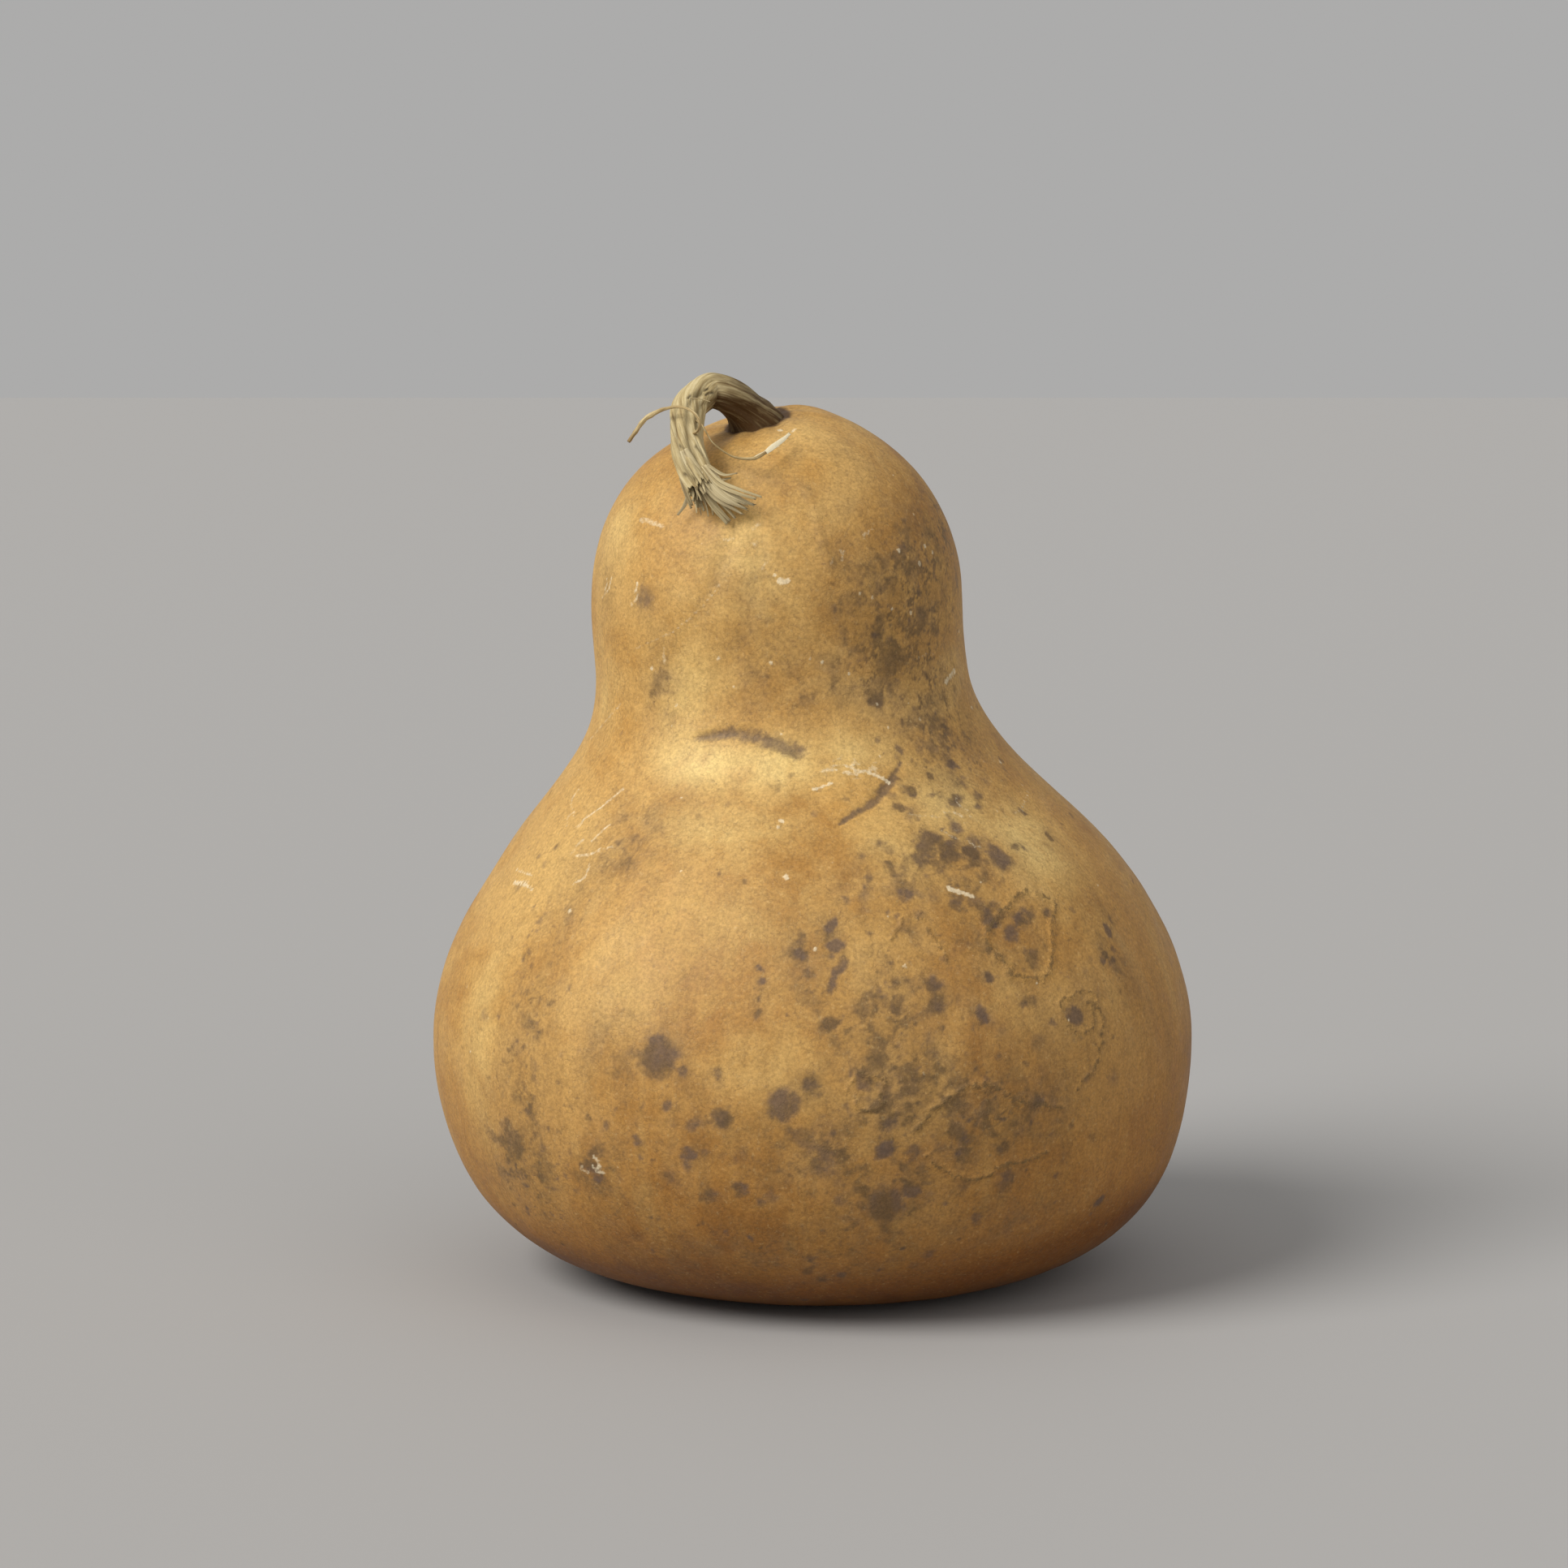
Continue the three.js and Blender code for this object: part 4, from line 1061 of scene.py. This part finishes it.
def fibre(parts, line, width, seed, box, thin=None, tooth=0.5, taper=0.35, brown_and_shade=0.0, roll=0.35,
          bleach=0.0):
    """One torn strip: a flat tube along a line, ridged lengthwise, with a ragged tip."""
    draw = np.random.RandomState(seed)
    line = np.array(line, float)
    wide = width > BLADE_WIDTH
    sides, rows = (28, 34) if wide else (12, 22)
    path = curve(line, rows)
    path += (draw.normal(size=3) * 0.12 * MM) * np.sin(np.linspace(0, 3, rows))[:, None]
    ways = unit(np.gradient(path, axis=0))
    flat = VIEW_WAY + draw.normal(size=3) * roll
    ups = unit(flat - ways * (ways @ flat)[:, None])
    across = np.cross(ups, ways)
    thick = (max(0.30, 0.17 * width) if thin is None else thin) * MM
    share = np.linspace(0, 1, rows)
    half = width / 2 * MM * (1 - (1 - taper) * smoothstep(0.45, 1.0, share))
    half = half * (0.8 + 0.2 * smoothstep(0, 0.2, share))
    half = half * (1 + 0.16 * gradient_noise(np.c_[share * 5, share * 0, share * 0 + seed * .37], 5))
    angle = np.arange(sides) * (2 * math.pi / sides)
    c, s = np.cos(angle), np.sin(angle)
    ridge = 1 + 0.5 * gradient_noise(
        np.c_[c * width * 1.6, np.full(sides, seed * 1.7), np.sign(s) * 3.0], 9)
    cup = 0.22 * (c ** 2 - 0.5) * half[:, None] * (1 if wide else 0)
    height = s[None] * thick / 2 * ridge[None] * (1 - 0.5 * share[:, None]) - cup
    rings = (path[:, None] + across[:, None] * (c[None] * half[:, None])[..., None]
             + ups[:, None] * height[..., None])
    rag = gradient_noise(np.c_[c * width * 1.5, np.full(sides, seed * 0.9), c * 0], 21)
    rings += ways[:, None] * (tooth * MM * rag[None] * smoothstep(0.55, 1, share)[:, None])[..., None]
    grainmap = np.stack([np.broadcast_to(c * width * 1.6 + seed * 3.1, half[:, None].shape[:1] + c.shape),
                         np.broadcast_to(s * 0.5, (rows, sides)),
                         np.broadcast_to(share[:, None] * 0.6 + seed, (rows, sides))], axis=2)
    brown_and_shade_rows = np.full((rows, sides), brown_and_shade) + 0.25 * smoothstep(0.8, 1, share)[:, None] * draw.uniform(0, 1)
    parts.add(rings, grainmap, brown_and_shade_rows, np.zeros((rows, sides)), box, bleach)


parts = Parts()
stalk_trunk(parts)
draw = np.random.RandomState(23)
lines = []
for stations, strands, width, spread, brown_and_shade in SPLINTERS:
    for strand in range(strands):
        aside = (strand - (strands - 1) / 2) * spread
        shift = np.array((0, draw.normal() * 0.05, draw.normal() * 0.05))
        line = []
        for order, (share, right_of, out) in enumerate(stations):
            opening = 0.7 + 0.3 * order
            longer = 1 + draw.uniform(-0.06, 0.04) * (order == len(stations) - 1)
            line.append(beside_stalk(share * longer, right_of + aside * opening + shift[1], out + shift[2])
                        + np.array((0, FIBRE_SETBACK * MM, 0)))
        lines.append((line, width * draw.uniform(0.8, 1.15), brown_and_shade * draw.uniform(0.6, 1.4)))
# short filler fibres all round the torn rim
end, before = STALK_POINTS[-1] / MM, STALK_POINTS[-2] / MM
way = unit(end - before)
side = unit(np.cross(way, VIEW_WAY))
rise = np.cross(way, side)
for k in range(FILLERS):
    turn = k * 2 * math.pi / FILLERS + draw.uniform(-0.1, 0.1)
    out = side * math.cos(turn) + rise * math.sin(turn)
    reach = draw.uniform(2.0, 5.5)
    start = end - way * draw.uniform(2.5, 4.5) + out * draw.uniform(2.0, 2.9)
    lean = out * draw.uniform(0.1, 0.8) + side * draw.uniform(-0.2, 0.45)
    middle = start + way * (2.5 + reach * 0.5) + lean * 0.6
    tip = start + way * (2.5 + reach) + lean * draw.uniform(0.8, 2.2)
    filler = np.array((start, middle, tip)) * MM
    lines.append((filler, draw.uniform(0.35, 1.1), draw.uniform(0, 0.5)))
lines.append(([beside_stalk(*station) for station in HAIR], 0.26, 0.05))
for k, (line, width, brown_and_shade) in enumerate(lines):
    left = 0.01 + 0.98 * k / len(lines)
    box = (left, 0.62, left + 0.9 / len(lines), 0.99)
    tooth, taper, bleach = (3.0, 0.22, 0.18) if width > BLADE_WIDTH else (0.5, 0.62, 0.08)
    fibre(parts, line, width, 100 + k, box, tooth=tooth, taper=taper, brown_and_shade=brown_and_shade, bleach=bleach)
stalk = parts.object("gourd_stalk", STALK)


# ---------------------------------------------------------------- the two tendrils

def thread(parts, line, widths, seed, box, lumps=0.0, brown_and_shade=None):
    """A dry thread along a line with its own half widths, lumpy and ridged."""
    rows, sides = (150, 16)
    path = curve(line, rows)
    share = np.linspace(0, 1, rows)
    half = np.interp(share, np.linspace(0, 1, len(widths)), widths) * MM
    ways, across, ups = turning_frames(path)
    angle = np.arange(sides) * (2 * math.pi / sides)
    turned, along = np.meshgrid(angle, share)
    bumps = layered_noise(np.c_[np.cos(turned).ravel() * 0.8, np.sin(turned).ravel() * 0.8,
                                along.ravel() * 22], 1.0, seed, 3, 0.6).reshape(turned.shape)
    radius = half[:, None] * (1 + 0.22 * bumps + 0.07 * np.cos(3 * turned + 9 * along))
    if lumps:
        still = turned.ravel() * 0
        swells = gradient_noise(np.c_[along.ravel() * 17, still, still + 4], seed + 8)
        swells = np.clip(1.6 * swells.reshape(turned.shape), -0.4, 1)
        radius *= 1 + lumps * smoothstep(0.68, 0.8, along) * swells
    rings = (path[:, None] + across[:, None] * (np.cos(turned) * radius)[..., None]
             + ups[:, None] * (np.sin(turned) * radius)[..., None])
    grainmap = np.stack([np.cos(turned) * 1.4 + seed, np.sin(turned) * 1.4, along * 9], axis=2)
    brown_and_shade_rows = np.zeros(turned.shape) if brown_and_shade is None else np.interp(
        along, np.linspace(0, 1, len(brown_and_shade)), brown_and_shade)
    parts.add(rings, grainmap, brown_and_shade_rows, np.zeros(turned.shape), box)


left_parts = Parts()
left_line = [beside_stalk(*station) for station in LEFT_TENDRIL]
thread(left_parts, left_line, [.34, .38, .36, .33, .33, .34, .36, .42, .58, .62, .50, .40], 71,
       (0.01, 0.01, 0.99, 0.99), lumps=0.35, brown_and_shade=[.5, .3, .25, .2, .2, .3, .35, .25, 0, .1, .3, .6])
left = left_parts.object("tendril_curl", TENDRIL)

right_parts = Parts()
right_line = [beside_stalk(*station) for station in RIGHT_TENDRIL_ROOT]
right_line += [above_shell(*station) for station in RIGHT_TENDRIL_SHELL]
thread(right_parts, right_line, [.22, .22, .21, .20, .19, .20, .24, .34, .42, .36], 81,
       (0.01, 0.01, 0.99, 0.58), brown_and_shade=[.3, .1, .1, .1, .15, .1, 0, 0, .1, .75])
flake = [above_shell(*station) for station in FLAKE]
chips = [(flake, 1.5), (flake[:3], 0.7), ([right_line[-2], right_line[-1], flake[1]], 0.75)]
for k, (line, width) in enumerate(chips):
    fibre(right_parts, line, width, 140 + k, (0.01 + 0.33 * k, 0.62, 0.31 + 0.33 * k, 0.99), thin=0.22,
          tooth=1.6, taper=0.55, roll=0.15, bleach=0.75)
right = right_parts.object("tendril_thread", TENDRIL)

for piece, node, slot in ((shell, "gourd_body", "gourd_skin"), (stalk, "stem", "stalk"),
                          (left, "tendril_left", "tendril"), (right, "tendril_right", "tendril")):
    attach(piece, "root")
    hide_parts(node)

# ---------------------------------------------------------------- floor, light and camera

FLOOR_HALF = 6.0
FLOOR_COLOUR = (0.395, 0.388, 0.38)
LAMP_DISTANCE = 3.0
CAMERA_PLACE = (-0.007, -1.0918, 0.2545)
CAMERA_DIP = 7               # degrees down from level
LENS, SENSOR = 102.48, 36    # the photograph's viewing angle, in millimetres of lens and film
floor_mesh = bpy.data.meshes.new("floor")
floor_corners = ((-1, -1), (1, -1), (1, 1), (-1, 1))
floor_mesh.from_pydata([(x * FLOOR_HALF, y * FLOOR_HALF, 0) for x, y in floor_corners], [], [(0, 1, 2, 3)])
floor = bpy.data.objects.new("floor", floor_mesh)
scene.collection.objects.link(floor)
f = Shader("floor_plain")
floor_mesh.materials.append(f.finish(FLOOR_COLOUR, 0.8, f.bump(f.noise(3 * MM), 0.02 * MM, 0.2)))

world = bpy.data.worlds.new("studio")
scene.world = world
world.use_nodes = True
background = world.node_tree.nodes["Background"]
background.inputs["Color"].default_value = (0.985, 0.978, 0.97, 1)
background.inputs["Strength"].default_value = 0.42


def soft_light(name, toward, strength, spread, colour):
    """A large even light: it shines the given way, from a disc that many degrees wide."""
    data = bpy.data.lights.new(name, "SUN")
    data.energy = strength
    data.angle = math.radians(spread)
    data.color = colour
    lamp = bpy.data.objects.new(name, data)
    lamp.location = Vector(toward) * -LAMP_DISTANCE
    lamp.rotation_euler = Vector(toward).to_track_quat("-Z", "Y").to_euler()
    scene.collection.objects.link(lamp)


soft_light("key", (0.64, 0.44, -0.66), 2.8, 34, (1.0, 0.98, 0.95))
soft_light("fill", (-0.45, 0.75, -0.5), 0.45, 60, (1.0, 0.98, 0.96))

camera_data = bpy.data.cameras.new("camera")
camera_data.sensor_width = SENSOR
camera_data.lens = LENS
camera_data.clip_start = 0.05
camera_data.clip_end = 50
camera = bpy.data.objects.new("camera", camera_data)
camera.location = CAMERA_PLACE
camera.rotation_euler = (math.radians(90 - CAMERA_DIP), 0, 0)
scene.collection.objects.link(camera)
scene.camera = camera
scene.view_settings.view_transform = "Standard"
scene.view_settings.look = "None"
